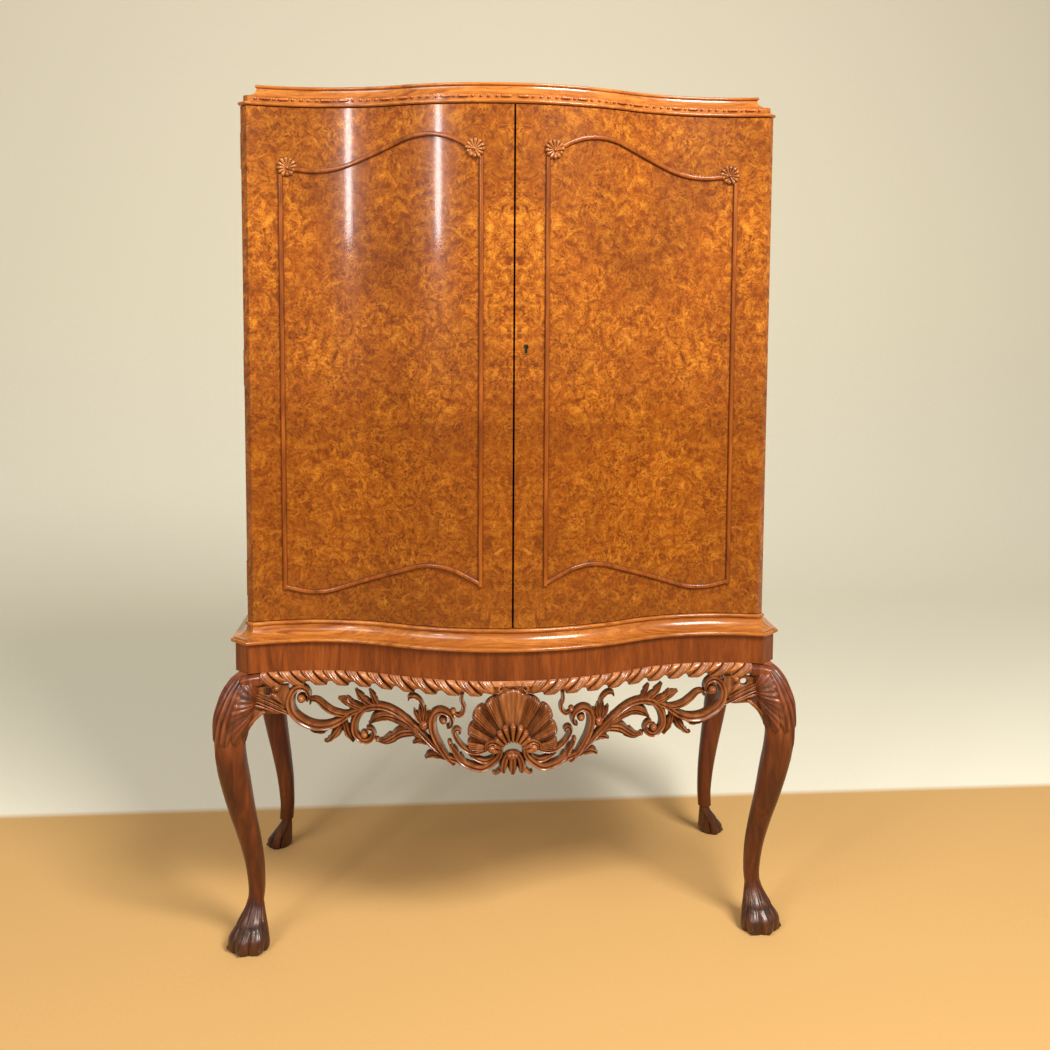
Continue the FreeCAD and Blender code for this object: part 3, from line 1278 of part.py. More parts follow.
doc.recompute()
for item in doc.Objects:
    if "Invalid" in item.State or "Error" in item.State:
        raise RuntimeError(f"{item.Label} failed to recompute: {item.State}")
for item in sub_parts:
    if item.Shape.isNull() or not item.Shape.isValid():
        raise RuntimeError(f"{item.Label} has no valid shape")
    if not item.Shape.Solids:
        raise RuntimeError(f"{item.Label} holds no solid")

os.makedirs("parts", exist_ok=True)
for item in sub_parts:
    item.Shape.exportStep(f"parts/{item.Label}.step")
print(f"{len(sub_parts)} sub-parts, {total_height:.1f} mm high")
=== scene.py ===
"""Looks for a serpentine two-door drinks cabinet on a carved cabriole stand."""
import json
from cmath import phase, rect
from math import acos, atan2, ceil, cos, exp, hypot, pi, radians, sin, sqrt, tan, tau

import bmesh
import bpy
from mathutils import Matrix, Vector, noise


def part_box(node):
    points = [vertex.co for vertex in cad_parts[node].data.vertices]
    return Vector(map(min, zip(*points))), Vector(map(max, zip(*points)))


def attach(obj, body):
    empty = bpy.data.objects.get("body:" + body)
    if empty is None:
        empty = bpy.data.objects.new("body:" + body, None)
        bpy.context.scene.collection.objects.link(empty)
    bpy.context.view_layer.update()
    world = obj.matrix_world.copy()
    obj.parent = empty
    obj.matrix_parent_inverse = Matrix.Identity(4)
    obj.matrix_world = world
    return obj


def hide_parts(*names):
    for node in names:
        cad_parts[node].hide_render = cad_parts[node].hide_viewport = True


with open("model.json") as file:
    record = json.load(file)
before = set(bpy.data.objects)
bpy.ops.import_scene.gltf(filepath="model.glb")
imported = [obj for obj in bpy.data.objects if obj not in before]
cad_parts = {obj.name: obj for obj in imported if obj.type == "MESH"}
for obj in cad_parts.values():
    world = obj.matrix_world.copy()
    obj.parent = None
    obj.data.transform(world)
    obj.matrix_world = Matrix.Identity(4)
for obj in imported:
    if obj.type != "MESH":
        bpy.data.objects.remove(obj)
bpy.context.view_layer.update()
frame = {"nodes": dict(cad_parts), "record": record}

# Shapes are drawn in millimetres and become metres when a piece is made.
MM = 0.001

# Sizes shared with the solids
HALF_FRONT = 466.0
CORNER_CANT = 12.0
CORNER_Y = -160.0
CENTRE_BOW = 74.0
TROUGH_DEPTH = 14.0
TROUGH_AT = 368.0
SIDE_X = HALF_FRONT + CORNER_CANT
CARCASE_BACK = 252.0
CARCASE_BASE = 582.0
LEG_HEIGHT = 517.0
RAIL_TOP = 570.0
WAIST_TOP = 605.0
CORNICE_BASE, TOTAL_HEIGHT = 1526.0, 1566.0
FRIEZE_OUT = 21.0
RAIL_THICKNESS = 25.0
DOOR_THICKNESS = 22.0
POST_X = 452.0
APRON_BACK = 8.0

# The front curve: a bow in the middle that runs smoothly into a hollow on each side
FRONT_RISE = CENTRE_BOW + TROUGH_DEPTH
TROUGH_RADIUS = ((HALF_FRONT - TROUGH_AT) ** 2 + TROUGH_DEPTH ** 2) / (2 * TROUGH_DEPTH)
BOW_RADIUS = (TROUGH_AT ** 2 + FRONT_RISE ** 2) / (2 * FRONT_RISE) - TROUGH_RADIUS
BOW_Y = CORNER_Y - CENTRE_BOW + BOW_RADIUS
TROUGH_Y = CORNER_Y + TROUGH_DEPTH - TROUGH_RADIUS
DIAGONAL = sqrt(0.5)


def turn_x(out=0.0):
    """Where the bow of the front runs into the hollow."""
    return TROUGH_AT * (BOW_RADIUS + out) / (BOW_RADIUS + TROUGH_RADIUS)


def front_y(x, out=0.0):
    """Depth of the front curve at x, moved outwards by out."""
    side = abs(x)
    if side <= turn_x(out):
        return BOW_Y - sqrt((BOW_RADIUS + out) ** 2 - side ** 2)
    return TROUGH_Y + sqrt((TROUGH_RADIUS - out) ** 2 - (side - TROUGH_AT) ** 2)


def front_normal(x, out=0.0):
    """Outward direction of the front curve at x, in plan."""
    side = abs(x)
    if side <= turn_x(out):
        normal = Vector((side, front_y(side, out) - BOW_Y, 0))
    else:
        normal = Vector((TROUGH_AT - side, TROUGH_Y - front_y(side, out), 0))
    normal.normalize()
    return Vector((normal.x if x >= 0 else -normal.x, normal.y, 0))


def on_front(u, v, w):
    """Point across, up and out from the front curve."""
    return Vector((u, front_y(u, w), v))


def on_left(u, v, w):
    return on_front(-u, v, w)


HANDS = (("left", -1, on_left), ("right", 1, on_front))


def ray(angle):
    """Direction on the front at an angle from upright."""
    return Vector((sin(angle), cos(angle)))


def fan(count, spread):
    """Equal angles over a spread of degrees about upright."""
    return [radians(-spread / 2 + spread * k / (count - 1)) for k in range(count)]


def clamp(value, low=0.0, high=1.0):
    return max(low, min(high, value))


# Mesh building

class Shape:
    """Points and faces of a piece in millimetres, with a mark for how hollow each point lies, which the
    carved finishes paint as shade.
    """

    def __init__(self, rings=None):
        self.points = []
        self.hollow = []
        self.faces = []
        if rings:
            self.loft(rings)

    def loft(self, rings, closed=False):
        """Skin over equal rings of (point, mark), closed at its ends or joined round to its start."""
        base = len(self.points)
        count = len(rings[0])
        for ring in rings:
            for point, mark in ring:
                self.points.append(point)
                self.hollow.append(mark)
        rows = len(rings)
        for row in range(rows if closed else rows - 1):
            here = base + row * count
            ahead = base + (row + 1) % rows * count
            for i in range(count):
                j = (i + 1) % count
                self.faces.append((here + i, here + j, ahead + j, ahead + i))
        if not closed:
            last = base + (rows - 1) * count
            self.faces.append(tuple(base + i for i in reversed(range(count))))
            self.faces.append(tuple(last + i for i in range(count)))


def make(name, shape, finish, nodes=(), angle=60.0, body="cabinet"):
    """Turn a shape into a piece that rides on a body and stands for CAD nodes."""
    mesh = bpy.data.meshes.new(name)
    mesh.from_pydata([tuple(p * MM) for p in shape.points], [], shape.faces)
    # The hollowness marks, from which the carved finishes paint shade
    mark = mesh.attributes.new("hollow", "FLOAT", "POINT")
    mark.data.foreach_set("value", shape.hollow)
    piece(name, mesh, finish, nodes, angle, body)


def piece(name, mesh, finish, nodes, angle, body):
    """Give a mesh its finish and its place in the frame."""
    work = bmesh.new()
    work.from_mesh(mesh)
    bmesh.ops.recalc_face_normals(work, faces=work.faces)
    work.to_mesh(mesh)
    work.free()
    mesh.shade_smooth()
    mesh.set_sharp_from_angle(angle=radians(angle))
    mesh.materials.clear()
    mesh.materials.append(finish)
    item = bpy.data.objects.new(name, mesh)
    bpy.context.scene.collection.objects.link(item)
    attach(item, body)
    if nodes:
        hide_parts(*nodes)


def through(points, steps):
    """Smooth curve through points of any number of values."""
    line = []
    for i in range(len(points) - 1):
        p1, p2 = points[i], points[i + 1]
        p0 = points[i - 1] if i else [2 * a - b for a, b in zip(p1, p2)]
        p3 = points[i + 2] if i + 2 < len(points) else [2 * b - a for a, b in zip(p1, p2)]
        for k in range(steps):
            t = k / steps
            line.append([
                0.5 * (2 * b + (c - a) * t + (2 * a - 5 * b + 4 * c - d) * t * t
                       + (3 * b - a - 3 * c + d) * t ** 3)
                for a, b, c, d in zip(p0, p1, p2, p3)])
    line.append(list(points[-1]))
    return line


ACROSS = 12
THINNEST = 0.6
NOTCH_DEPTH, NOTCH_FROM = 0.34, 0.45
# Hollowness of the grooves and of the edges, which the finish paints as shade
EDGE_FALL, GROOVE_MARK = 0.75, 0.64


def ribbon(shape, points, low, high, flutes=2, depth=0.22, place=on_front, steps=7, back=APRON_BACK, lobes=0):
    """Carved band along points of (across, up, half width, lift); lobes notch its edges."""
    line = through([tuple(p) + (1.0,) * (4 - len(p)) for p in points], steps)
    rings = []
    for i, (u, v, half, lift) in enumerate(line):
        before, after = line[max(i - 1, 0)], line[min(i + 1, len(line) - 1)]
        run, rise = after[0] - before[0], after[1] - before[1]
        length = hypot(run, rise) or 1.0
        side_u, side_v = -rise / length, run / length
        half = max(half, THINNEST)
        notch = 0.0
        if lobes:
            along = lobes * i / (len(line) - 1) % 1.0
            notch = NOTCH_DEPTH * max(0.0, along - NOTCH_FROM) / (1 - NOTCH_FROM)
        ring = []
        for k in range(ACROSS + 1):
            t = 2 * k / ACROSS - 1
            groove = 0.5 + 0.5 * cos(pi * flutes * t) if flutes else 0.0
            crown = (1 - EDGE_FALL * t ** 4) * (1 - depth * groove)
            reach = half * t * (1 - notch * t * t)
            spot = place(u + side_u * reach, v + side_v * reach, low + (high - low) * crown * lift)
            ring.append((spot, min(1.0, GROOVE_MARK * groove + abs(t) ** 6)))
        for t in (1, -1):
            reach = half * t * (1 - notch)
            ring.append((place(u + side_u * reach, v + side_v * reach, back), 1.0))
        rings.append(ring)
    shape.loft(rings)


def band(shape, points, high, place=on_front, flutes=2, depth=0.22):
    """Ribbon of the apron, from its back to high."""
    ribbon(shape, points, APRON_BACK, high, flutes, depth, place)


def knob(shape, u, v, radius, low, high, place=on_front, stretch=1.0, back=APRON_BACK):
    """Round boss standing on the front, marked as hollow round its foot, where the finish paints shade."""
    rows, around = 7, 20
    foot_share, foot_mark = 0.95, 0.9
    levels = [(1.0, back - low)]
    for k in range(rows):
        angle = pi / 2 * k / rows
        levels.append((cos(angle), (high - low) * sin(angle)))
    rings = []
    for share, rise in levels:
        mark = foot_mark if share > foot_share else 0.0
        ring = []
        for i in range(around):
            angle = tau * i / around
            across = u + radius * share * cos(angle)
            up = v + radius * stretch * share * sin(angle)
            ring.append((place(across, up, low + rise), mark))
        rings.append(ring)
    shape.loft(rings)


# Materials

def srgb(red, green, blue):
    """Screen colour from 0 to 255 as the value that a shader socket takes."""
    def linear(value):
        value /= 255
        return value / 12.92 if value <= 0.04045 else ((value + 0.055) / 1.055) ** 2.4
    return (linear(red), linear(green), linear(blue), 1.0)


class Finish:
    """Small helper for building a node material."""

    def __init__(self, name):
        self.material = bpy.data.materials.new(name)
        self.material.use_nodes = True
        self.tree = self.material.node_tree
        self.shader = self.tree.nodes["Principled BSDF"]

    def add(self, kind, inputs=None, **settings):
        node = self.tree.nodes.new("ShaderNode" + kind)
        for key, value in settings.items():
            setattr(node, key, value)
        for key, value in (inputs or {}).items():
            self.put(node.inputs[key], value)
        return node

    def put(self, socket, value):
        if isinstance(value, bpy.types.NodeSocket):
            self.tree.links.new(value, socket)
        else:
            socket.default_value = value

    def set(self, **values):
        for key, value in values.items():
            self.put(self.shader.inputs[key.replace("_", " ").title().replace("Ior", "IOR")], value)

    def place(self):
        return self.add("TexCoord").outputs["Object"]

    def split(self, vector):
        return self.add("SeparateXYZ", {0: vector}).outputs

    def math(self, operation, first, second=0.0):
        return self.add("Math", {0: first, 1: second}, operation=operation).outputs[0]

    def times(self, first, second):
        return self.math("MULTIPLY", first, second)

    def stretch(self, vector, x, y, z):
        return self.add("Mapping", {"Vector": vector, "Scale": (x, y, z)}).outputs[0]

    def noise(self, vector, scale, detail=4.0, roughness=0.55, distortion=0.0, output="Fac"):
        return self.add("TexNoise", {
            "Vector": vector, "Scale": scale, "Detail": detail,
            "Roughness": roughness, "Distortion": distortion}).outputs[output]

    def ramp(self, value, *stops):
        """Colour ramp with stops of (position, screen colour)."""
        node = self.add("ValToRGB", {"Fac": value})
        points = node.color_ramp.elements
        while len(points) < len(stops):
            points.new(0.5)
        for point, (position, colour) in zip(points, stops):
            point.position = position
            point.color = srgb(*colour)
        return node.outputs["Color"]

    def shade(self, low, high, value, dark=0.0, light=1.0):
        """Value that runs from dark to light while another runs from low to high."""
        return self.add("MapRange", {0: value, 1: low, 2: high, 3: dark, 4: light}).outputs[0]

    def mix(self, share, first, second):
        return self.add("Mix", {0: share, 6: first, 7: second}, data_type="RGBA").outputs[2]

    def bump(self, height, strength, distance):
        node = self.add("Bump", {"Height": height, "Strength": strength, "Distance": distance})
        self.put(self.shader.inputs["Normal"], node.outputs[0])


PANEL_CENTRE = 0.234
CURL = 0.035
# Heights over which the painted shade low down and the denser figure fade out upwards
SHADE_AND_FIGURE_FOOT, SHADE_AND_FIGURE_CLEAR = 0.66, 1.20
DARK_CLOUD_AND_SHADE_TONE = srgb(112, 57, 14)


def burr_walnut():
    """Polished burr veneer, book-matched about the middle of each door."""
    f = Finish("burr_walnut")
    x, y, z = f.split(f.place())
    from_middle = f.math("ABSOLUTE", x)
    matched = f.math("ABSOLUTE", f.math("SUBTRACT", from_middle, PANEL_CENTRE))
    leaf = f.add("CombineXYZ", {0: matched, 1: y, 2: z}).outputs[0]
    drift = f.noise(leaf, 24.0, 3.0, output="Color")
    push = f.add("VectorMath", {0: drift, 1: (0.5, 0.5, 0.5)}, operation="SUBTRACT").outputs[0]
    push = f.add("VectorMath", {0: push, "Scale": CURL}, operation="SCALE").outputs[0]
    curled = f.add("VectorMath", {0: leaf, 1: push}).outputs[0]
    cloud = f.noise(curled, 66.0, 9.0, 0.78, 0.5)
    colour = f.ramp(
        cloud,
        (0.37, (98, 45, 7)),
        (0.45, (151, 82, 16)),
        (0.52, (187, 110, 27)),
        (0.58, (207, 132, 39)),
        (0.67, (228, 157, 60)))
    tone = f.noise(leaf, 11.0, 4.0, 0.6, 1.0)
    colour = f.mix(f.shade(0.38, 0.62, tone, 0.50, 0.0), colour, srgb(142, 69, 14))
    # Broad dark clouds of figure, painted shade that darkens the colour towards the bottom, and a denser
    # figure low down
    patches = f.noise(leaf, 3.6, 3.0, 0.55, 0.8)
    colour = f.mix(f.shade(0.43, 0.64, patches, 0.0, 0.46), colour, DARK_CLOUD_AND_SHADE_TONE)
    low_shade_and_figure = f.shade(SHADE_AND_FIGURE_FOOT, SHADE_AND_FIGURE_CLEAR, z, 1.0, 0.0)
    # Painted shade: the colour grows darker towards the bottom
    colour = f.mix(f.times(low_shade_and_figure, 0.34), colour, DARK_CLOUD_AND_SHADE_TONE)
    # Fine broken lines
    swirl = f.noise(curled, 20.0, 4.0, 0.55, 1.6)
    wander = f.math("ABSOLUTE", f.math("SUBTRACT", swirl, 0.5))
    broken = f.noise(leaf, 46.0, 3.0)
    cracks = f.times(f.shade(0.0, 0.012, wander, 1.0, 0.0), f.shade(0.47, 0.58, broken))
    colour = f.mix(f.times(cracks, 0.65), colour, srgb(92, 44, 14))
    # Eyes in groups, knots and flecks
    eyes = f.add("TexVoronoi", {"Vector": curled, "Scale": 130.0}).outputs["Distance"]
    groups = f.noise(leaf, 19.0, 4.0, 0.6)
    crowd = f.math("ADD", groups, f.shade(0.38, 0.66, patches, -0.03, 0.06))
    crowd = f.math("ADD", crowd, f.times(low_shade_and_figure, 0.07))
    specks = f.times(f.shade(0.12, 0.46, eyes, 1.0, 0.0), f.shade(0.47, 0.60, crowd))
    colour = f.mix(f.times(specks, 0.75), colour, srgb(84, 38, 12))
    knots = f.noise(curled, 64.0, 2.0, 0.5)
    colour = f.mix(f.shade(0.60, 0.70, knots, 0.0, 0.60), colour, srgb(108, 48, 12))
    flecks = f.noise(curled, 300.0, 4.0, 0.7)
    colour = f.mix(f.shade(0.38, 0.54, flecks, 0.52, 0.0), colour, srgb(104, 46, 10))
    f.set(base_color=colour, roughness=f.shade(0.3, 0.7, cloud, 0.30, 0.22), coat_weight=0.5,
          coat_roughness=0.10, specular_ior_level=0.25)
    f.bump(flecks, 0.05, 0.0002)
    return f.material


def straight_walnut(name, grain, dark, middle, light, gloss=0.30, coat=0.35):
    """Straight-grained polished walnut; grain gives how fast the figure changes along X, Y and Z."""
    f = Finish(name)
    place = f.place()
    figure = f.noise(f.stretch(place, *grain), 1.0, 6.0, 0.62, 1.3)
    colour = f.ramp(figure, (0.30, dark), (0.50, middle), (0.72, light))
    pores = f.noise(f.stretch(place, *(7 * value for value in grain)), 1.0, 3.0, 0.7)
    colour = f.mix(f.shade(0.34, 0.47, pores, 0.45, 0.0), colour, srgb(70, 32, 12))
    cloud = f.noise(place, 5.0, 3.0)
    colour = f.mix(f.shade(0.38, 0.60, cloud, 0.35, 0.0), colour, srgb(*dark))
    f.set(base_color=colour, roughness=f.shade(0.3, 0.7, pores, gloss + 0.10, gloss), coat_weight=coat,
          coat_roughness=0.12, specular_ior_level=0.3)
    f.bump(pores, 0.12, 0.0003)
    return f.material


CARVED_STOPS = (0.32, 0.52, 0.74)


def carved_walnut(name, tones, hollow_shade_colour, gloss=0.27, coat=0.45, lower=None, levels=(0.0, 1.0)):
    """Carved and polished walnut, darker in its hollows as painted shade; lower gives the three tones below
    the levels.
    """
    f = Finish(name)
    place = f.place()
    figure = f.noise(f.stretch(place, 55.0, 55.0, 9.0), 1.0, 5.0, 0.6, 0.8)
    colour = f.ramp(figure, *zip(CARVED_STOPS, tones))
    if lower:
        height = f.split(place)[2]
        below = f.ramp(figure, *zip(CARVED_STOPS, lower))
        colour = f.mix(f.shade(*levels, height), below, colour)
    hollow = f.add("Attribute", attribute_name="hollow").outputs["Fac"]
    # Painted shade: the hollowness marks darken the colour, broken up by noise
    hollow_shade_mottle = f.noise(place, 70.0, 4.0)
    colour = f.mix(f.times(hollow, f.shade(0.3, 0.7, hollow_shade_mottle, 0.68, 1.0)), colour, srgb(*hollow_shade_colour))
    pores = f.noise(f.stretch(place, 420.0, 420.0, 60.0), 1.0, 3.0)
    f.set(base_color=colour, roughness=f.shade(0.0, 1.0, hollow, gloss, 0.55), coat_weight=coat,
          coat_roughness=0.14, specular_ior_level=0.4)
    f.bump(pores, 0.08, 0.0003)
    return f.material


def metal(name, colour, wear_and_shade, roughness):
    f = Finish(name)
    place = f.place()
    patina = f.noise(place, 60.0, 6.0, 0.6)
    brushed = f.noise(f.stretch(place, 60.0, 60.0, 900.0), 1.0, 3.0)
    f.set(base_color=f.mix(f.shade(0.40, 0.68, patina), srgb(*colour), srgb(*wear_and_shade)), metallic=1.0,
          roughness=f.shade(0.3, 0.7, brushed, roughness, roughness + 0.15))
    f.bump(brushed, 0.06, 0.0002)
    return f.material


def glass():
    f = Finish("shelf_glass")
    smear = f.noise(f.place(), 9.0, 5.0)
    f.set(base_color=srgb(228, 242, 236), transmission_weight=1.0, ior=1.5,
          roughness=f.shade(0.45, 0.75, smear, 0.01, 0.05))
    return f.material


def mirror():
    f = Finish("mirror_glass")
    spots = f.noise(f.place(), 40.0, 6.0, 0.7)
    f.set(base_color=f.mix(f.shade(0.66, 0.78, spots), srgb(226, 230, 228), srgb(120, 116, 104)),
          metallic=1.0, roughness=f.shade(0.50, 0.80, spots, 0.02, 0.06))
    return f.material


# Dark, middle and light tones of the woods
MOULDED_TONES = (132, 66, 21), (180, 107, 41), (212, 139, 65)
CARVED_TONES = (106, 54, 23), (148, 85, 43), (186, 120, 72)
# The gadroon's tones are a lighter copy of the carved ones: painted light for the light its crowns catch from
# above
GADROON_LIT_TONES = (138, 78, 38), (182, 114, 66), (212, 148, 98)
LEG_TONES = (58, 23, 7), (87, 37, 13), (113, 54, 22)
KNEE_TONES = (90, 40, 16), (128, 62, 28), (162, 92, 50)
PAW_TONES = (58, 28, 13), (86, 45, 23), (116, 68, 38)
BEAD_TONES = (108, 51, 14), (144, 74, 21), (172, 97, 34)
ROSETTE_TONES = (118, 62, 24), (158, 94, 42), (190, 124, 64)
CORNICE_TONES = (150, 76, 26), (190, 108, 44), (216, 140, 66)
# Heights in metres between which the legs change from one set of tones to another; on the front legs the
# lighter knee tones above are painted light on the knee, and the darker leg tones below are painted shade
# down the leg
KNEE_LIGHT_AND_SHADE_LEVELS, PAW_LEVELS = (0.36, 0.42), (0.055, 0.085)

BURR = burr_walnut()
VENEER = straight_walnut("crossbanded_walnut", (38, 38, 5), (92, 38, 11), (130, 62, 19), (156, 84, 32))
MOULDED_FRONT = straight_walnut("moulded_walnut_front", (7, 70, 70), *MOULDED_TONES, 0.22, 0.5)
MOULDED_SIDE = straight_walnut("moulded_walnut_side", (70, 7, 70), *MOULDED_TONES, 0.22, 0.5)
SIDE_WOOD = straight_walnut("carcase_walnut", (30, 30, 3), (102, 46, 14), (150, 78, 28), (182, 106, 46))
INNER = straight_walnut("inner_wood", (4, 45, 45), (136, 92, 52), (176, 128, 80), (200, 156, 104), 0.5, 0.0)
LEG_WOOD = straight_walnut("leg_walnut", (48, 48, 5), (66, 28, 9), (98, 44, 16), (124, 62, 26), 0.30, 0.3)
CARVED = carved_walnut("carved_walnut", CARVED_TONES, (36, 17, 7), 0.23, 0.6)
GADROON_WOOD = carved_walnut("gadroon_walnut_lit", GADROON_LIT_TONES, (50, 24, 9), 0.23, 0.6)
# Knee: lighter tones above its levels paint light on the knee, darker leg tones below paint shade
KNEE_WOOD = carved_walnut("knee_walnut", KNEE_TONES, (30, 13, 5), 0.36, 0.18, LEG_TONES, KNEE_LIGHT_AND_SHADE_LEVELS)
PAW_WOOD = carved_walnut("paw_walnut", LEG_TONES, (20, 9, 4), 0.36, 0.2, PAW_TONES, PAW_LEVELS)
BEAD_WOOD = carved_walnut("beading_walnut", BEAD_TONES, (54, 24, 8), 0.27, 0.3)
ROSETTE_WOOD = carved_walnut("rosette_walnut", ROSETTE_TONES, (44, 20, 7), 0.27, 0.4)
CORNICE_WOOD = carved_walnut("cornice_walnut", CORNICE_TONES, (58, 26, 9))
BRASS = metal("aged_brass", (196, 152, 74), (126, 90, 40), 0.28)
STEEL = metal("bright_steel", (176, 176, 174), (120, 116, 110), 0.32)
GLASS = glass()
MIRROR = mirror()

SLOT_FINISH = {
    "burr_walnut": BURR, "walnut": SIDE_WOOD, "carved_walnut": CARVED, "inner_wood": INNER,
    "brass": BRASS, "steel": STEEL, "glass": GLASS, "mirror": MIRROR}
NODE_FINISH = {
    "frieze_rail_left": VENEER, "frieze_rail_right": VENEER, "frieze_rail_rear": INNER,
    "top_board": MOULDED_FRONT, "shelf_wood": MOULDED_FRONT}
node_slot = {entry["node"]: entry["material_slot"] for entry in frame["record"]["subparts"]}
for label, item in frame["nodes"].items():
    item.data.materials.clear()
    item.data.materials.append(NODE_FINISH.get(label) or SLOT_FINISH[node_slot[label]])

# Doors and frieze: the solids' own shapes, cut finer so that the long curves shade smoothly

SNAP, ON_CURVE = 0.45, 0.02
WELD, CUT = 0.000005, 0.000001


def refined(label, name, outs, step, finish, body):
    """Copy of a node whose curved faces are cut finer and set true to the front curve."""
    work = bmesh.new()
    work.from_mesh(frame["nodes"][label].data)
    bmesh.ops.remove_doubles(work, verts=work.verts, dist=WELD)
    low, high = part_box(label)
    x = ceil(low.x / (step * MM)) * step * MM
    while x < high.x:
        everything = work.verts[:] + work.edges[:] + work.faces[:]
        bmesh.ops.bisect_plane(work, geom=everything, dist=CUT, plane_co=(x, 0, 0), plane_no=(1, 0, 0))
        x += step * MM
    for vert in work.verts:
        for out in outs:
            true_y = front_y(vert.co.x / MM, out)
            if abs(vert.co.y / MM - true_y) < SNAP:
                vert.co.y = true_y * MM
    mesh = bpy.data.meshes.new(name)
    work.to_mesh(mesh)
    work.free()
    piece(name, mesh, finish, (label,), 30.0, body)
    true_normals(mesh, outs)


def true_normals(mesh, outs):
    """Give each face on the front curve the exact direction of that curve."""
    spots = [vert.co / MM for vert in mesh.vertices]
    normals = []
    for face in mesh.polygons:
        level = None
        for out in outs:
            near = all(abs(spots[v].y - front_y(spots[v].x, out)) < ON_CURVE for v in face.vertices)
            if near and abs(face.normal.z) < 0.5:
                level = out
        for v in face.vertices:
            normal = face.normal if level is None else front_normal(spots[v].x, level)
            normals.append(normal if normal.dot(face.normal) > 0 else -normal)
    mesh.normals_split_custom_set(normals)


DOOR_LEVELS = (0.0, -DOOR_THICKNESS)
FRIEZE_LEVELS = (FRIEZE_OUT, FRIEZE_OUT - RAIL_THICKNESS)
for hand, _, _ in HANDS:
    door = "door_" + hand
    refined(door, "door_panel_" + hand, DOOR_LEVELS, 8.0, BURR, door)
refined("frieze_rail_front", "frieze_front", FRIEZE_LEVELS, 10.0, VENEER, "cabinet")

# Beading and corner shells on the doors

OUTER_SHELL, INNER_SHELL = (398.0, 1420.0), (70.0, 1448.0)
OUTER_FOOT, INNER_FOOT = (410.0, 668.0), (58.0, 686.5)
TOP_RUN = (OUTER_SHELL, (330.0, 1409.0), (145.0, 1487.0), INNER_SHELL)
TOP_RADII = (180.0, 120.0)
FOOT_RUN = (OUTER_FOOT, (350.0, 652.0), (135.0, 726.5), INNER_FOOT)
FOOT_RADII = (120.0, 110.0)
BEAD_HALF, BEAD_HEIGHT, BEAD_STEP = 4.3, 5.0, 6.0
UNDER_SHELL = 12.0
SHELL_RADIUS, SHELL_HEIGHT, SHELL_TURN = 19.5, 8.0, radians(35)
PETALS, PETAL_FAN = 9, 224
# Share of its length, half width and lift along a petal
PETAL = ((0.16, 1.2, 0.75), (0.45, 2.4, 0.85), (0.78, 3.7, 1.0), (0.92, 3.2, 0.8), (1.0, 1.0, 0.45))
# Turn from the heading, distance and radius of the berries
BERRIES = ((180, 11.0, 4.6), (143, 11.5, 4.0), (217, 11.5, 4.0))
BERRY_HEIGHT = 6.0


def rounded(corners, radii):
    """Points along straight runs whose inner corners are rounded to the given radii."""
    steps = 24
    line = [Vector(corners[0])]
    for i, radius in enumerate(radii):
        corner = Vector(corners[i + 1])
        back = (Vector(corners[i]) - corner).normalized()
        ahead = (Vector(corners[i + 2]) - corner).normalized()
        half = acos(clamp(back.dot(ahead), -1.0)) / 2
        reach = radius / tan(half)
        centre = corner + (back + ahead).normalized() * (radius / sin(half))
        start, end = corner + back * reach, corner + ahead * reach
        for k in range(steps + 1):
            blend = start.lerp(end, k / steps) - centre
            line.append(centre + blend.normalized() * radius)
    line.append(Vector(corners[-1]))
    return line


def evenly(line, gap):
    """Points along a line, close enough together to follow the curve of the door."""
    out = []
    for a, b in zip(line, line[1:]):
        count = max(1, round((b - a).length / gap))
        out.extend(a.lerp(b, k / count) for k in range(count))
    return out + [line[-1]]


def bead(shape, line, place):
    points = [(p.x, p.y, BEAD_HALF) for p in evenly(line, BEAD_STEP)]
    ribbon(shape, points, 0.0, BEAD_HEIGHT, 0, 0.0, place, 1, 0.0)


def door_shell(shape, centre, heading, place):
    """Small carved shell: petals fanned about heading, with berries behind them."""
    def boss(spot, radius, low, high):
        knob(shape, spot[0], spot[1], radius, low, high, place, 1.0, 0.0)

    boss(centre, SHELL_RADIUS - 5.0, 0.0, 3.2)
    for k, angle in enumerate(fan(PETALS, PETAL_FAN)):
        way = ray(heading + angle)
        reach = SHELL_RADIUS * (1.0 - 0.10 * abs(k - 4) / 4)
        points = []
        for share, half, lift in PETAL:
            spot = Vector(centre) + way * reach * share
            points.append((spot.x, spot.y, half, lift))
        ribbon(shape, points, 0.0, SHELL_HEIGHT - 1.0, 0, 0.0, place, 4, 0.0)
    for turned, reach, radius in BERRIES:
        angle = heading + radians(turned)
        spot = (centre[0] + reach * sin(angle), centre[1] + reach * cos(angle))
        boss(spot, radius, 0.0, BERRY_HEIGHT)
    boss(centre, 3.4, 2.0, SHELL_HEIGHT)


for hand, _, place in HANDS:
    beads = Shape()
    bead(beads, rounded(TOP_RUN, TOP_RADII), place)
    bead(beads, rounded(FOOT_RUN, FOOT_RADII), place)
    for foot, head in ((OUTER_FOOT, OUTER_SHELL), (INNER_FOOT, INNER_SHELL)):
        ends = (foot[1] - BEAD_HALF, head[1] - UNDER_SHELL)
        bead(beads, [Vector((foot[0], z)) for z in ends], place)
    make("beading_" + hand, beads, BEAD_WOOD, ("door_beading_" + hand,), body="door_" + hand)
    shells = Shape()
    door_shell(shells, OUTER_SHELL, SHELL_TURN, place)
    door_shell(shells, INNER_SHELL, -SHELL_TURN, place)
    make("corner_shells_" + hand, shells, ROSETTE_WOOD, ("door_rosettes_" + hand,), body="door_" + hand)

# Waist moulding and cornice, swept round the front with mitred corners


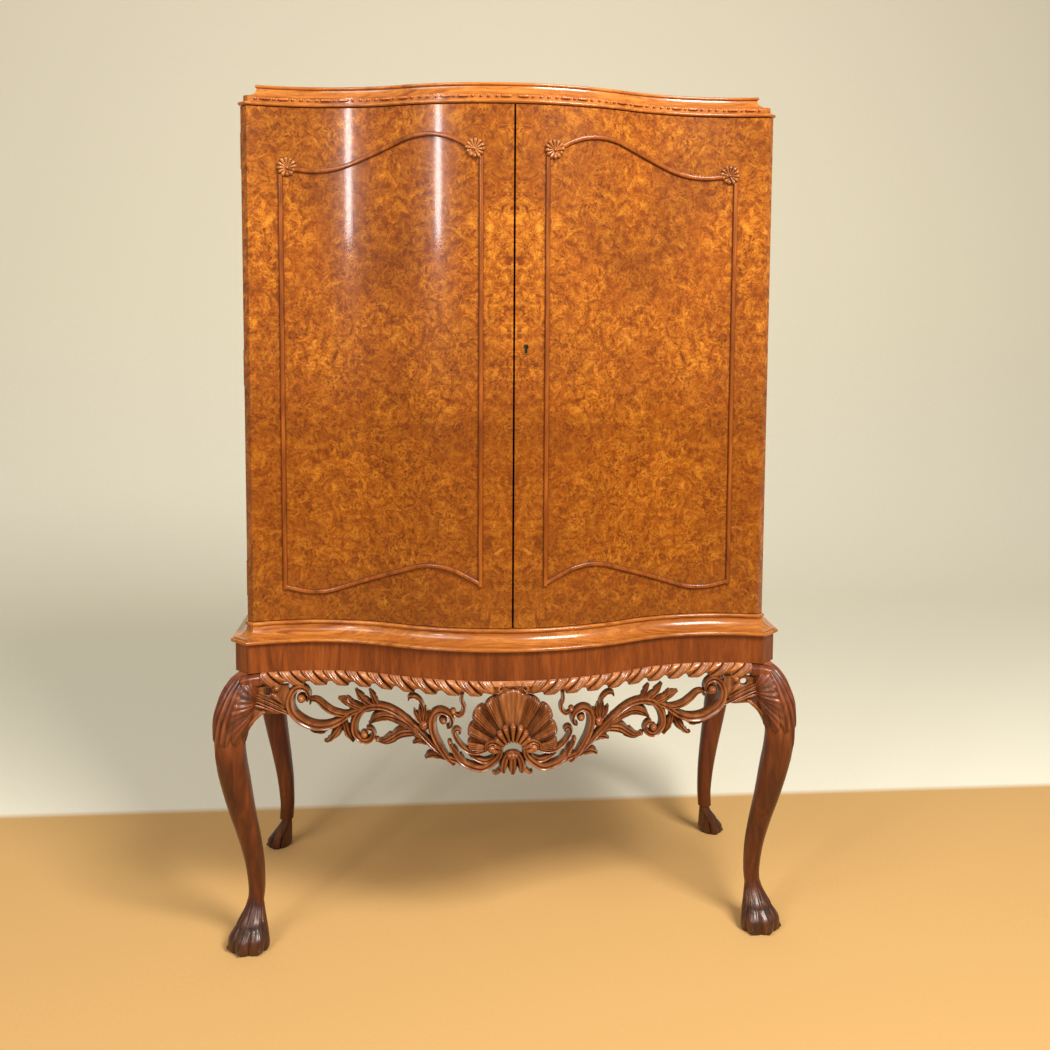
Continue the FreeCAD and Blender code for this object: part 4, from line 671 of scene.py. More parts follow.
def arc(start, middle, end, steps=10):
    """Points of an arc through three points, without its first."""
    a, b, c = complex(*start), complex(*middle), complex(*end)
    ratio = (c - a) / (b - a)
    centre = a + (b - a) * (ratio - abs(ratio) ** 2) / (2j * ratio.imag)
    turned, whole = (phase((p - centre) / (a - centre)) % tau for p in (b, c))
    if turned > whole:
        whole -= tau
    points = [centre + (a - centre) * rect(1, whole * k / steps) for k in range(1, steps + 1)]
    return [(p.real, p.imag) for p in points]


def section(start, *steps_along):
    """Moulding outline: a step is a corner, or the middle and the end of an arc."""
    points = [start]
    for step in steps_along:
        if isinstance(step[0], tuple):
            points.extend(arc(points[-1], *step))
        else:
            points.append(step)
    return points


COVE_SHARE, MITRE_GAP, BEAD_REACH = 0.29, 0.15, 4.0
WAIST_INSET = 24.0
CORNICE_BAND, BAND_HEIGHT = -5.0, 11.5


def cove(near, far):
    """Middle of a hollow arc that bends towards near."""
    return tuple(a + COVE_SHARE * (b - a) for a, b in zip(near, far))


def waist_section(inner):
    reach, neck, bead, fillet, seat = 29.0, 1.0, 7.0, 2.0, 2.2
    nose = reach - bead / 2
    lip = nose - fillet
    base, top = RAIL_TOP + bead + fillet, WAIST_TOP - bead - fillet
    return section(
        (inner, WAIST_TOP),
        (neck, WAIST_TOP),
        ((BEAD_REACH, WAIST_TOP - bead / 2), (neck, WAIST_TOP - bead)),
        (neck, top),
        (cove((neck, base), (lip, top)), (lip, base)),
        (lip, base - fillet),
        (nose, base - fillet),
        ((reach, RAIL_TOP + bead / 2), (nose, RAIL_TOP)),
        (seat, RAIL_TOP),
        (seat, CARCASE_BASE),
        (inner, CARCASE_BASE))


def cornice_section():
    bead, edge, neck, crown, inner = 6.0, 1.0, -26.0, -23.0, -47.5
    base = CORNICE_BASE + bead
    low, high = base + BAND_HEIGHT, TOTAL_HEIGHT - bead
    return section(
        (inner, CORNICE_BASE),
        (edge, CORNICE_BASE),
        ((BEAD_REACH, CORNICE_BASE + bead / 2), (edge, base)),
        (CORNICE_BAND, base),
        (CORNICE_BAND, low),
        (cove((neck, low), (CORNICE_BAND, high)), (neck, high)),
        ((crown, TOTAL_HEIGHT - bead / 2), (neck, TOTAL_HEIGHT)),
        (inner, TOTAL_HEIGHT))


def corner(reach):
    """Plan points where the front meets the cant and the cant meets the side, moved outwards by reach."""
    flank_x = SIDE_X + reach
    low, high = TROUGH_AT, SIDE_X + 40.0
    for _ in range(40):
        x = (low + high) / 2
        past = DIAGONAL * (x - HALF_FRONT - front_y(x, reach) + CORNER_Y) - reach
        low, high = (low, x) if past > 0 else (x, high)
    if low >= flank_x:
        meeting = (flank_x, front_y(flank_x, reach))
        return meeting, meeting
    return (low, front_y(low, reach)), (flank_x, CORNER_Y + flank_x - HALF_FRONT - reach / DIAGONAL)


def front_moulding(outline):
    """Moulding along the front, round both canted corners."""
    corners = [corner(reach) for reach, z in outline]
    count = 150
    rings = []
    for k in range(-1, count + 2):
        ring = []
        for (reach, z), (front_end, flank_end) in zip(outline, corners):
            if k < 0 or k > count:
                x, y = flank_end
                spot = Vector((-x if k < 0 else x, y, z))
            else:
                x = front_end[0] * (2 * k / count - 1)
                spot = Vector((x, front_y(x, reach), z))
            ring.append((spot, 0.0))
        rings.append(ring)
    return Shape(rings)


def side_moulding(outline, hand):
    """Moulding along one side, mitred to the front one."""
    near, far = [], []
    for reach, z in outline:
        x = hand * (SIDE_X + reach)
        near.append((Vector((x, corner(reach)[1][1] + MITRE_GAP, z)), 0.0))
        far.append((Vector((x, CARCASE_BACK, z)), 0.0))
    return Shape([near, far])


MOULDINGS = (
    ("waist_moulding", waist_section(-WAIST_INSET), waist_section(0.0)),
    ("cornice", cornice_section(), cornice_section()),
)
for label, front_outline, side_outline in MOULDINGS:
    run = front_moulding(front_outline)
    make(label + "_run", run, MOULDED_FRONT, (label + "_front",), 28.0)
    for hand, sign, _ in HANDS:
        flank = side_moulding(side_outline, sign)
        make(label + "_flank_" + hand, flank, MOULDED_SIDE, (label + "_" + hand,), 28.0)

# Row of beads and bars carved on the band of the cornice

CARVING_PITCH = 105.0
CARVING_Z = 1539.0
RELIEF_LOW, RELIEF_HIGH = CORNICE_BAND, -1.6
BEADS_AT, BARS_AT = (31.0, 45.5, 58.5, 73.0, 0.0), (6.0, 80.0)
BAND_BEAD_RADIUS, BEAD_MARGIN = 2.7, 6.0
BAR_LENGTH, BAR_END, BAR_MARGIN = 18.0, 3.0, 4.0
DOT_RADIUS, DOT_AWAY, DOT_HEIGHT, DOT_SUNK, DOT_STRETCH = 1.3, 1.4, 0.4, 0.2, 1.3


def band_bar(shape, u, place):
    far = u + BAR_LENGTH
    points = [(u, CARVING_Z, 1.0, 0.6), (u + BAR_END, CARVING_Z, 2.3, 1),
              (far - BAR_END, CARVING_Z, 2.3, 1), (far, CARVING_Z, 1.0, 0.6)]
    ribbon(shape, points, RELIEF_LOW, RELIEF_HIGH, 0, 0.0, place, 5, RELIEF_LOW)


def band_bead(shape, u, place):
    """Bead with a small dot on each side."""
    knob(shape, u, CARVING_Z, BAND_BEAD_RADIUS, RELIEF_LOW, RELIEF_HIGH, place, 1.0, RELIEF_LOW)
    for side in (-1, 1):
        knob(shape, u + side * (BAND_BEAD_RADIUS + DOT_AWAY), CARVING_Z, DOT_RADIUS, RELIEF_LOW,
             RELIEF_LOW + DOT_HEIGHT, place, DOT_STRETCH, RELIEF_LOW - DOT_SUNK)


carving = Shape()
for place in (on_front, on_left):
    start = 0.0
    while start < HALF_FRONT:
        for spot in BEADS_AT:
            if 0 < start + spot < HALF_FRONT - BEAD_MARGIN:
                band_bead(carving, start + spot, place)
        for spot in BARS_AT:
            if 0 < start + spot < HALF_FRONT - BAR_LENGTH - BAR_MARGIN:
                band_bar(carving, start + spot, place)
        start += CARVING_PITCH
make("cornice_carving", carving, CORNICE_WOOD)

# Gadrooned edge under the frieze

def gadroon():
    """Slanting lobes in pairs, one finely striated and one smooth, with a plain seat for the shell."""
    columns, rows = 1100, 20
    half, top, foot = POST_X - 0.3, LEG_HEIGHT, 489.0
    back, root, crest = 2.0, 16.0, 31.0
    pair, slant, fine = 40.0, 25.0, 0.56
    striae, stria_depth, stria_mark = 4, 2.4, 0.38
    plain_half, seat_half, seat_depth, seat_from = 44.0, 33.0, 9.0, 0.34
    rings = []
    for c in range(columns + 1):
        u = -half + 2 * half * c / columns
        plain = 1.0 / (1.0 + (abs(u) / plain_half) ** 8)
        seat = seat_depth / (1.0 + (abs(u) / seat_half) ** 12)
        ring = []
        for r in range(rows + 1):
            share = r / rows
            cycle = (abs(u) + slant * share ** 1.25) / pair % 1.0
            striated = cycle < fine
            cell = cycle / fine if striated else (cycle - fine) / (1 - fine)
            lobe = (1 - abs(2 * cell - 1) ** 5) * (1 - plain) + 0.8 * plain
            ripple = (0.5 - 0.5 * cos(tau * striae * cell)) * (1 - plain) if striated else 0.0
            long = 1.0 if striated else 1.0 - 0.30 * lobe
            long = long * (1 - plain) + 0.9 * plain
            belly = sin(pi * (0.20 + 0.68 * share)) ** 0.7
            out = root + (crest - root) * belly * (0.30 + 0.70 * lobe)
            # Painted shade between the lobes and along the striations
            mark = (1 - lobe) ** 1.4
            if striated:
                out -= stria_depth * (1 - ripple) * belly
                mark += stria_mark * (1 - ripple) * (1 - plain)
            out -= seat * clamp((share - seat_from) / 0.1)
            z = top - (top - foot) * share * long
            ring.append((on_front(u, z, out), min(1.0, mark)))
        ring += [(on_front(u, level, back), 1.0) for level in (z, top)]
        rings.append(ring)
    return Shape(rings)


make("gadroon_carving", gadroon(), GADROON_WOOD, ("gadroon_edge",), 70.0)

# Shell in the middle of the apron

HUB_Z = 385.0
# Far angle of each lobe, then its edge radius where it starts and where it ends
LOBES = (
    (12.7, 113.0, 108.0),
    (30.5, 106.0, 100.0),
    (50.0, 103.0, 94.0),
    (69.0, 89.0, 84.0),
    (88.0, 80.0, 74.0),
)
SHELL_MOUTH = 20.0
LOBE_BULGE, LOBE_LIFT = 5.0, 1.5
FLUTE_SHARE, FLUTE_DEPTH, FLUTE_MARK = 0.46, 9.0, 0.62
RIB_HEIGHT, RIB_FALL = 5.0, 3.0
# Depth and hollowness (painted shade) of the fine ripples: on the middle lobe, then on the others
RIPPLES = ((1.2, 0.4), (2.3, 0.65))
DISH_LOW, DISH_RISE, SHELL_LIMIT, RIM_DROP = 12.0, 13.0, 31.0, 6.0
REEDS, REED_FAN, REED_HIGH = 11, 162, 29.5
# Share of its length, half width and lift along a reed
REED = ((0.0, 2.9, 0.70), (0.30, 3.9, 0.85), (0.58, 5.2, 0.98), (0.80, 6.4, 1.05), (0.92, 5.6, 0.95),
        (1.0, 2.4, 0.6))


def lobe_at(angle):
    """Edge radius and place across its lobe (0 to 1) for a ray at angle degrees from upright."""
    near = 0.0
    for far, first, last in LOBES:
        if angle <= far:
            across = (angle - near) / (far - near)
            return first + (last - first) * across, across, near == 0.0
        near = far
    return LOBES[-1][2], 1.0, False


def apron_shell():
    """Scallop shell: hollowed lobes with raised edges, and a collar of round-headed reeds."""
    shape = Shape()
    rings = []
    columns, rows = 320, 26
    limit = LOBES[-1][0]

    def spot(way, radius, out):
        return on_front(way.x * radius, HUB_Z + way.y * radius, out)

    for c in range(columns + 1):
        angle = -limit + 2 * limit * c / columns
        edge, across, middle = lobe_at(abs(angle))
        if middle:
            across = 0.5 + across / 2
        bulge = 1 - (2 * across - 1) ** 2
        edge += LOBE_BULGE * bulge ** 0.7
        ripple, fluted = 1.0, 0.0
        if middle:
            ripple = 0.5 - 0.5 * cos(tau * 5 * across)
            wave = LOBE_LIFT * bulge
        elif across < FLUTE_SHARE:
            fluted = sin(pi * across / FLUTE_SHARE)
            wave = -FLUTE_DEPTH * fluted + LOBE_LIFT
        else:
            ribbed = (across - FLUTE_SHARE) / (1 - FLUTE_SHARE)
            ripple = 0.5 - 0.5 * cos(tau * 4 * ribbed)
            wave = RIB_HEIGHT * sin(pi * ribbed) + LOBE_LIFT - RIB_FALL * ribbed
        depth, wear_and_shade = RIPPLES[0 if middle else 1]
        way = ray(radians(angle))
        ring = []
        for r in range(rows + 1):
            share = r / rows
            dish = DISH_LOW + DISH_RISE * share ** 1.2
            ridge = (wave + depth * (ripple - 1.0)) * min(1.0, share * 1.6)
            rim = -RIM_DROP * max(0.0, share - 0.95) / 0.05
            # Painted shade in the ripples, in the flutes and towards the mouth of the shell
            mark = wear_and_shade * (1 - ripple) + FLUTE_MARK * fluted + 0.9 * max(0.0, 1 - share / 0.42)
            radius = SHELL_MOUTH + (edge - SHELL_MOUTH) * share
            point = spot(way, radius, min(dish + ridge + rim, SHELL_LIMIT))
            ring.append((point, min(1.0, mark)))
        ring.append((spot(way, edge, APRON_BACK), 1.0))
        ring.append((spot(way, SHELL_MOUTH, APRON_BACK), 1.0))
        rings.append(ring)
    shape.loft(rings)
    for angle in fan(REEDS, REED_FAN):
        way = ray(angle)
        length = 38.0 + 16.0 * cos(angle) ** 3 - SHELL_MOUTH
        points = []
        for share, half, lift in REED:
            radius = SHELL_MOUTH + length * share
            points.append((way.x * radius, HUB_Z + way.y * radius, half, lift))
        ribbon(shape, points, DISH_LOW, REED_HIGH, 0, 0.0, on_front, 6)
    return shape


def shell_curls(shape, place):
    """Small curl that ties the shell to the edge above."""
    band(shape, [(14, 513, 2, 0.8), (21, 511, 3.5, 0.95), (26, 505, 3.5), (23, 499, 2.5, 0.95),
                 (19, 502, 1.4, 0.85)], 31, place, 0)


def pendant(shape):
    """Three-lobed husk that hangs below the mouth of the shell."""
    band(shape, [(0, 382, 7, 0.85), (0, 374, 8.5, 0.95), (0, 364, 9), (0, 354, 8, 0.95),
                 (0, 346, 4, 0.75)], 30)
    for place in (on_front, on_left):
        band(shape, [(9, 382, 5, 0.85), (13, 375, 7.5, 0.95), (16, 365, 8.5), (17, 355, 7.5, 0.95),
                     (15, 348, 3.5, 0.7)], 28, place)
        band(shape, [(18, 360, 3, 0.7), (25, 351, 4.5, 0.85), (31, 347, 4, 0.8), (36, 350, 2, 0.6)],
             24, place, 0)
        knob(shape, 6, 381, 6.5, 14, 29, place)
    knob(shape, 0, 379, 16, 12, 27, on_front, 0.6)


def centre_scrolls(shape, place):
    """The C-scrolls that clasp the mouth of the shell, and the arms that run out from them."""
    band(shape, [(109, 396, 3, 0.75), (102, 380, 5.5, 0.85), (88, 366, 7, 0.9), (71, 359, 8), (54, 357, 8),
                 (38, 366, 8), (26, 378, 7), (22, 391, 6), (26, 402, 5), (37, 406, 5, 0.98),
                 (47, 400, 4.2, 0.95), (47, 391, 3, 0.9)], 29, place)
    band(shape, [(78, 382, 2.5, 0.7), (66, 374, 5.5, 0.85), (50, 369, 6, 0.9), (36, 375, 5, 0.9),
                 (29, 385, 3, 0.8)], 25, place)
    knob(shape, 37, 394, 9.5, 14, 31, place)
    band(shape, [(44, 393, 3.5, 0.9), (54, 388, 4.5, 0.95), (66, 386, 5), (80, 389, 5), (93, 399, 5),
                 (102, 412, 5), (105, 421, 4.6), (100, 427, 4), (94, 424, 3.4, 0.95), (95, 419, 2.4, 0.9)],
         27, place)


shell = apron_shell()
shell_curls(shell, on_front)
shell_curls(shell, on_left)
pendant(shell)
centre_scrolls(shell, on_front)
centre_scrolls(shell, on_left)
make("shell_carving", shell, CARVED, ("apron_shell",))

# Pierced scrollwork each side of the shell

LEAF_SPREAD, LEAF_GROOVE = 1.22, 0.28
HUSK_X, HUSK_Z = 158, 432
HUSK_TIPS = ((176, 457), (166, 464), (155, 464), (148, 456))


def scrollwork(place):
    shape = Shape()

    def stem(points, high=28.0, flutes=2):
        band(shape, points, high, place, flutes)

    def leaf(points, high, flutes):
        spread = [(across, up, half * LEAF_SPREAD, *lift) for across, up, half, *lift in points]
        ribbon(shape, spread, APRON_BACK, high, flutes, LEAF_GROOVE, place, 9, lobes=3)

    # Foot leaf and stem that rise from the middle
    stem([(62, 357, 3, 0.7), (80, 363, 6, 0.85), (98, 369, 6.5, 0.9), (118, 376, 6, 0.95), (134, 388, 6),
          (148, 400, 6.5), (166, 418, 7), (185, 433, 7), (206, 447, 7), (228, 454, 7), (252, 453, 7.5),
          (270, 445, 8), (282, 429, 8.5), (286, 410, 8), (281, 395, 7.5), (268, 387, 7), (256, 391, 6.2),
          (250, 402, 5.4), (255, 411, 4.4, 0.95), (263, 411, 3, 0.9)])
    knob(shape, 267, 399, 7.5, 14, 29, place)
    leaf([(112, 402, 2, 0.7), (110, 396, 4.5, 0.9), (103, 386, 6, 0.95), (94, 374, 6.5, 0.95),
          (82, 364, 4, 0.8)], 27, 2)
    knob(shape, 112, 402, 4.5, 12, 25, place)
    # Upright scroll
    stem([(117, 430, 3, 0.9), (110, 434, 4, 0.95), (108, 444, 5), (114, 454, 6), (127, 459, 7), (139, 452, 8),
          (144, 435, 9), (140, 414, 8.5), (129, 393, 7.5), (117, 375, 6, 0.95), (104, 362, 4, 0.8)], 30)
    knob(shape, 124, 442, 7.5, 14, 31, place)
    # Link to the edge above
    stem([(106, 456, 3, 0.9), (97, 451, 4, 0.95), (89, 457, 4.6), (87, 468, 4.6), (91, 478, 4, 0.95),
          (90, 492, 4, 0.85)], 25)
    knob(shape, 106, 458, 5.5, 12, 26, place)
    # Husk with its curl
    for tip_x, tip_z in HUSK_TIPS:
        bend = ((HUSK_X + tip_x) / 2 + (tip_x - HUSK_X) * 0.2, (HUSK_Z + tip_z) / 2, 5)
        leaf([(HUSK_X, 428, 3, 0.9), bend, (tip_x, tip_z, 1.2, 0.75)], 26, 2)
    knob(shape, HUSK_X, 430, 9.5, 10, 29, place, 1.25)
    stem([(157, 444, 4, 0.9), (159, 460, 4, 0.95), (164, 473, 4.2), (174, 481, 4.2), (184, 479, 3.4, 0.95),
          (186, 473, 2, 0.85)], 27)
    # Broad leaf under the stem
    leaf([(150, 402, 4, 0.85), (167, 416, 7, 0.95), (186, 429, 9.5), (207, 438, 11), (228, 440, 10.5),
          (246, 432, 7.5, 0.95), (258, 420, 2, 0.75)], 29, 5)
    # Lower leaf with a beaded tip
    leaf([(146, 398, 4, 0.8), (163, 409, 7, 0.9), (180, 415, 9, 0.95), (199, 411, 9.5), (214, 400, 8.5),
          (228, 391, 6, 0.95), (242, 390, 2.5, 0.85)], 26, 4)
    knob(shape, 243, 391, 4.6, 10, 25, place)
    leaf([(140, 388, 4, 0.8), (152, 398, 6, 0.9), (165, 400, 6.5, 0.95), (178, 394, 2, 0.75)], 23, 3)
    leaf([(116, 371, 4, 0.8), (131, 375, 6, 0.9), (145, 376, 6.5, 0.95), (156, 369, 2.2, 0.75)], 23, 3)
    # Leaves that reach up from the stem
    leaf([(240, 452, 4, 0.9), (258, 457, 6, 0.95), (272, 467, 6.5), (283, 482, 2.2, 0.8)], 26, 3)
    leaf([(238, 452, 4, 0.85), (247, 462, 5.5, 0.95), (251, 472, 5.2), (257, 483, 2.2, 0.85)], 24, 3)
    leaf([(246, 450, 4, 0.85), (266, 446, 6, 0.95), (286, 451, 7.5), (302, 459, 6.5, 0.95),
          (315, 464, 2, 0.75)], 25, 4)
    leaf([(282, 451, 3, 0.85), (292, 459, 4, 0.95), (299, 468, 1.6, 0.75)], 25, 2)
    # Curled leaf
    stem([(262, 448, 4, 0.85), (284, 438, 5.5, 0.95), (304, 434, 6.5), (325, 438, 7.5), (340, 448, 7.5),
          (352, 459, 6), (363, 461, 4, 0.95), (366, 453, 2.2, 0.85)], 27, 3)
    # Large C-scroll against the leg
    stem([(371, 459, 2.6, 0.9), (367, 469, 4, 0.95), (372, 480, 5.5), (384, 485, 7), (396, 477, 8),
          (402, 459, 9), (398, 440, 9.5), (384, 424, 10), (360, 412, 10), (334, 412, 9), (312, 422, 7.5),
          (292, 437, 6, 0.95), (268, 448, 4, 0.85)], 30)
    knob(shape, 381, 464, 9, 14, 31, place)
    # Drooping leaves
    leaf([(304, 428, 4, 0.85), (311, 412, 6, 0.95), (321, 396, 7), (334, 383, 3.5, 0.85),
          (341, 384, 1.4, 0.7)], 25, 3)
    leaf([(305, 430, 3.5, 0.85), (302, 414, 6, 0.95), (297, 399, 7), (287, 384, 2.6, 0.8)], 26, 3)
    leaf([(330, 412, 4, 0.8), (343, 402, 6, 0.9), (356, 401, 5, 0.9), (366, 403, 2, 0.75)], 22, 3)
    return shape


for hand, _, place in HANDS:
    make("scrollwork_" + hand, scrollwork(place), CARVED, ("apron_scroll_" + hand,))

# Ears between the knees and the scrollwork

EAR_EDGE = (
    (404, 490), (402, 466), (403, 439), (424, 437), (449, 440), (459, 432), (467, 423), (473, 413),
    (477, 404), (482, 404), (482, 440), (482, 490), (444, 490))


def ear(place):
    """Pierced plate with a sheaf of ribbons, two buds and an arched lower edge."""
    shape = Shape()
    hole, radius, lip = Vector((440.0, 480.0)), 6.5, 1.5
    ground, swell, swell_from, swell_run = 18.0, 9.0, 446.0, 24.0
    rings = []
    for k in range(len(EAR_EDGE)):
        for part in range(4):
            outer = Vector(EAR_EDGE[k]).lerp(Vector(EAR_EDGE[(k + 1) % len(EAR_EDGE)]), part / 4)
            way = (outer - hole).normalized()
            inner = hole + way * radius
            rim = hole + way * (radius + lip)
            high = ground + swell * clamp((outer.x - swell_from) / swell_run)
            # Painted shade: the hole's wall and the plate's back are marked fully hollow, its edges less
            rings.append([(place(outer.x, outer.y, high), 0.15),
                          (place(outer.x, outer.y, APRON_BACK), 1.0),
                          (place(inner.x, inner.y, APRON_BACK), 1.0),
                          (place(inner.x, inner.y, ground - lip), 1.0),
                          (place(rim.x, rim.y, ground), 0.35)])
    shape.loft(rings, True)

    def strand(points, high, flutes=2):
        band(shape, points, high, place, flutes, 0.2)

    # Sheaf that runs from the knee to the large scroll
    strand([(464, 471, 4.5), (450, 464, 5.5), (434, 455, 5.5), (418, 446, 4.5, 0.97),
            (403, 438, 2.5, 0.88)], 31)
    strand([(462, 479, 3.5), (449, 471.5, 4.2), (436, 464, 4.2), (423, 456, 3.6, 0.95),
            (412, 449, 2, 0.85)], 31)
    strand([(464, 460, 4), (450, 455, 4), (434, 448, 3.6), (418, 441, 2.4, 0.9)], 28, 0)
    # Buds beside the hole
    knob(shape, 424, 486, 7.5, 14, 30, place, 0.95)
    strand([(432, 477, 2.5, 0.85), (427, 473, 4.2), (421, 466, 4, 0.98), (415, 458, 1.6, 0.8)], 29, 0)
    # Roll along the arched edge
    strand([(446, 447, 3, 0.9), (452, 443, 4), (462, 435.5, 4.2), (470.5, 426, 4.2), (476.5, 415, 3.8, 0.97),
            (480, 405, 3, 0.9)], 29, 0)
    knob(shape, 447, 445, 4.8, 12, 30, place)
    return shape


for hand, _, place in HANDS:
    make("ear_" + hand, ear(place), CARVED, ("knee_bracket_" + hand,))

# Cabriole legs with carved knees, their posts and paws

# Share of the height, reach along the diagonal and radius of a leg
LEG_SECTIONS = (
    (1.0, -16, 23), (0.95, 0, 33), (0.90, 10, 38), (0.85, 20, 37), (0.78, 28, 32), (0.70, 26, 30),
    (0.60, 16, 28), (0.50, 4, 24.8), (0.40, -10, 21.5), (0.30, -21, 18.5), (0.205, -25, 16),
    (0.15, -22, 15.5), (0.12, -20, 15.5))
LEG_LINE = through(LEG_SECTIONS, 12)
LEG_FOOT, CARVING_FOOT, BACK_PLANE = 66.0, 338.0, 264.8
ARRIS, ARRIS_FROM, ARRIS_RUN = 0.03, 400.0, 80.0
FRONT_START, FRONT_WAY = Vector((485.44, -170.26, 0)), Vector((DIAGONAL, -DIAGONAL, 0))
REAR_START, REAR_WAY = Vector((486.8, 252.8, 0)), Vector((DIAGONAL, DIAGONAL, 0))
REAR_TUCK = 12.0
POST_OUT = SIDE_X + FRIEZE_OUT
POST_SIZE = POST_OUT - POST_X
POST_GAP, POST_BACK = 0.15, -123.5
SHOULDER = ((452.4, 503, 13.5, 0.96), (462, 503, 13.7), (474, 502.5, 13.0), (485, 501, 11.0, 0.9))
SHOULDER_HIGH = 29.5

# Knee carving: angles are in degrees from the front arris, heights in millimetres
KNEE_DEPTH, KNEE_SINK, KNEE_LEAST = 4.2, 82.0, 1.3
KNEE_LEFT, KNEE_RIGHT, KNEE_TOP = -168.0, 95.0, 514.0
SCALLOP_START, SCALLOP_WIDTH, SCALLOP_Z, SCALLOP_DROP = -140.0, 42.0, 408.0, 13.0
TIP_AT, TIP_HALF, TIP_Z, TIP_RISE, TIP_NOTCH = 6.0, 13.0, 353.0, 46.0, 5.0
EDGE_RUN, EDGE_SHADE, CLEFT_RUN = 2.0, 2.5, 40.0
SPINE_AT, ARC_LENGTH = -46.0, 0.62
SHEAF_AT, SHEAF_Z, SHEAF_END, SHEAF_STALKS, SHEAF_FLUTES = -138.0, 465.0, 0.85, 8, 17
FROND_SPAN, FROND_FLUTES, FROND_FOOT, FROND_HEIGHT, FROND_SWEEP = 115.0, 6.5, 400.0, 110.0, 40.0
SPINE_BERRIES, SPINE_BERRY_RADIUS = (500.0, 490.0, 479.0, 467.0, 455.0), 3.6


def leg_at(share):
    """Reach along the diagonal and radius of a leg at a share of its height."""
    for (high, reach, radius), (low, next_reach, next_radius) in zip(LEG_LINE, LEG_LINE[1:]):
        if low <= share <= high:
            part = (high - share) / (high - low)
            return reach + (next_reach - reach) * part, radius + (next_radius - radius) * part
    return LEG_LINE[-1][1], LEG_LINE[-1][2]


def knee_leaf(angle, z):
    """Height of the knee carving (0 to 1) and its hollowness, which the finish paints as shade."""
    cell = (angle - SCALLOP_START) / SCALLOP_WIDTH % 1.0
    edge = SCALLOP_Z - SCALLOP_DROP * (1 - (2 * cell - 1) ** 2)
    tip = abs(angle - TIP_AT) / TIP_HALF
    if tip < 1:
        notch = TIP_NOTCH * abs(sin(3 * pi * tip))
        edge = min(edge, TIP_Z + TIP_RISE * tip ** 1.4 + notch)
    over = z - edge
    fade = clamp(min((KNEE_RIGHT - angle) / 25.0, (angle - KNEE_LEFT) / 20.0, (KNEE_TOP - z) / 10.0))
    if over <= 0 or fade <= 0:
        return 0.0, max(0.0, 1.0 + over / EDGE_SHADE) * 0.8 * fade
    rise = min(1.0, over / EDGE_RUN)
    if angle < SPINE_AT:
        slope = atan2(z - SHEAF_Z, (angle - SHEAF_AT) * ARC_LENGTH)
        sheaf = 0.5 + 0.5 * cos(SHEAF_STALKS * slope + 0.6)
        flute = (0.30 + 0.70 * sheaf) * (0.40 + 0.60 * cos(SHEAF_FLUTES * slope) ** 2)
        if slope > SHEAF_END:
            flute = 0.55
    else:
        up = z - FROND_FOOT
        spread = (angle - SPINE_AT) / FROND_SPAN * (0.75 + 0.25 * up / FROND_HEIGHT)
        flute = 0.5 + 0.5 * cos(tau * FROND_FLUTES * spread + up / FROND_SWEEP)
    cleft = (2 * cell - 1) ** 8 * max(0.0, 1 - over / CLEFT_RUN)
    height = rise * (0.30 + 0.70 * flute) * (1 - 0.7 * cleft)
    for level in SPINE_BERRIES:
        away = hypot((angle - SPINE_AT) * ARC_LENGTH, z - level) / SPINE_BERRY_RADIUS
        if away < 1:
            height = max(height, sqrt(1 - away * away))
            flute = 1.0
    return height * fade, min(1.0, (0.85 * (1 - flute) + cleft) * rise * fade)


def leg(hand, start, diagonal, tuck, carved):
    """One leg; hand is 1 on the right and -1 on the left, and mirrors it."""
    turn_side = 1 if diagonal.y < 0 else -1
    across = Vector((-diagonal.y * turn_side, diagonal.x * turn_side, 0))
    shape = Shape()
    rings = []
    around = 216 if carved else 48
    fine_step, step = 1.1, 5.0
    z = LEG_HEIGHT
    while z > LEG_FOOT:
        share = z / LEG_HEIGHT
        reach, radius = leg_at(share)
        centre = start + diagonal * (reach - tuck * (1 - share))
        on_knee = carved and z > CARVING_FOOT
        sunk = KNEE_DEPTH * clamp((z - CARVING_FOOT) / KNEE_SINK) if carved else 0.0
        arris = ARRIS * clamp((ARRIS_FROM - z) / ARRIS_RUN)
        ring = []
        for i in range(around):
            turned = 360.0 * i / around - 180.0
            height, mark = knee_leaf(turned, z) if on_knee else (0.0, 0.0)
            size = radius * (1 - ARRIS + arris * cos(radians(4 * turned)))
            size = size - sunk + max(sunk, KNEE_LEAST) * height
            way = diagonal * cos(radians(turned)) + across * sin(radians(turned))
            spot = centre + way * size
            ring.append((Vector((hand * spot.x, min(spot.y, BACK_PLANE), z)), mark))
        rings.append(ring)
        z -= fine_step if on_knee else step
    shape.loft(rings)
    if carved:
        band(shape, SHOULDER, SHOULDER_HIGH, on_front if hand > 0 else on_left, 0)
    return shape


def post(plan, hand):
    return Shape([[(Vector((hand * x, y, z)), 0.0) for x, y in plan] for z in (LEG_HEIGHT, RAIL_TOP)])


def front_post(hand):
    """Square post with a canted corner; its face carries on the curve of the frieze."""
    front_end, flank_end = corner(FRIEZE_OUT)
    steps = 6
    near = POST_X + POST_GAP
    across = [near + (front_end[0] - near) * k / steps for k in range(steps + 1)]
    plan = [(x, front_y(x, FRIEZE_OUT)) for x in across]
    plan += [flank_end, (POST_OUT, POST_BACK), (near, POST_BACK)]
    return post(plan, hand)


def rear_post(hand):
    front = BACK_PLANE - POST_SIZE
    plan = ((POST_X, front), (POST_OUT, front), (POST_OUT, BACK_PLANE), (POST_X, BACK_PLANE))
    return post(plan, hand)


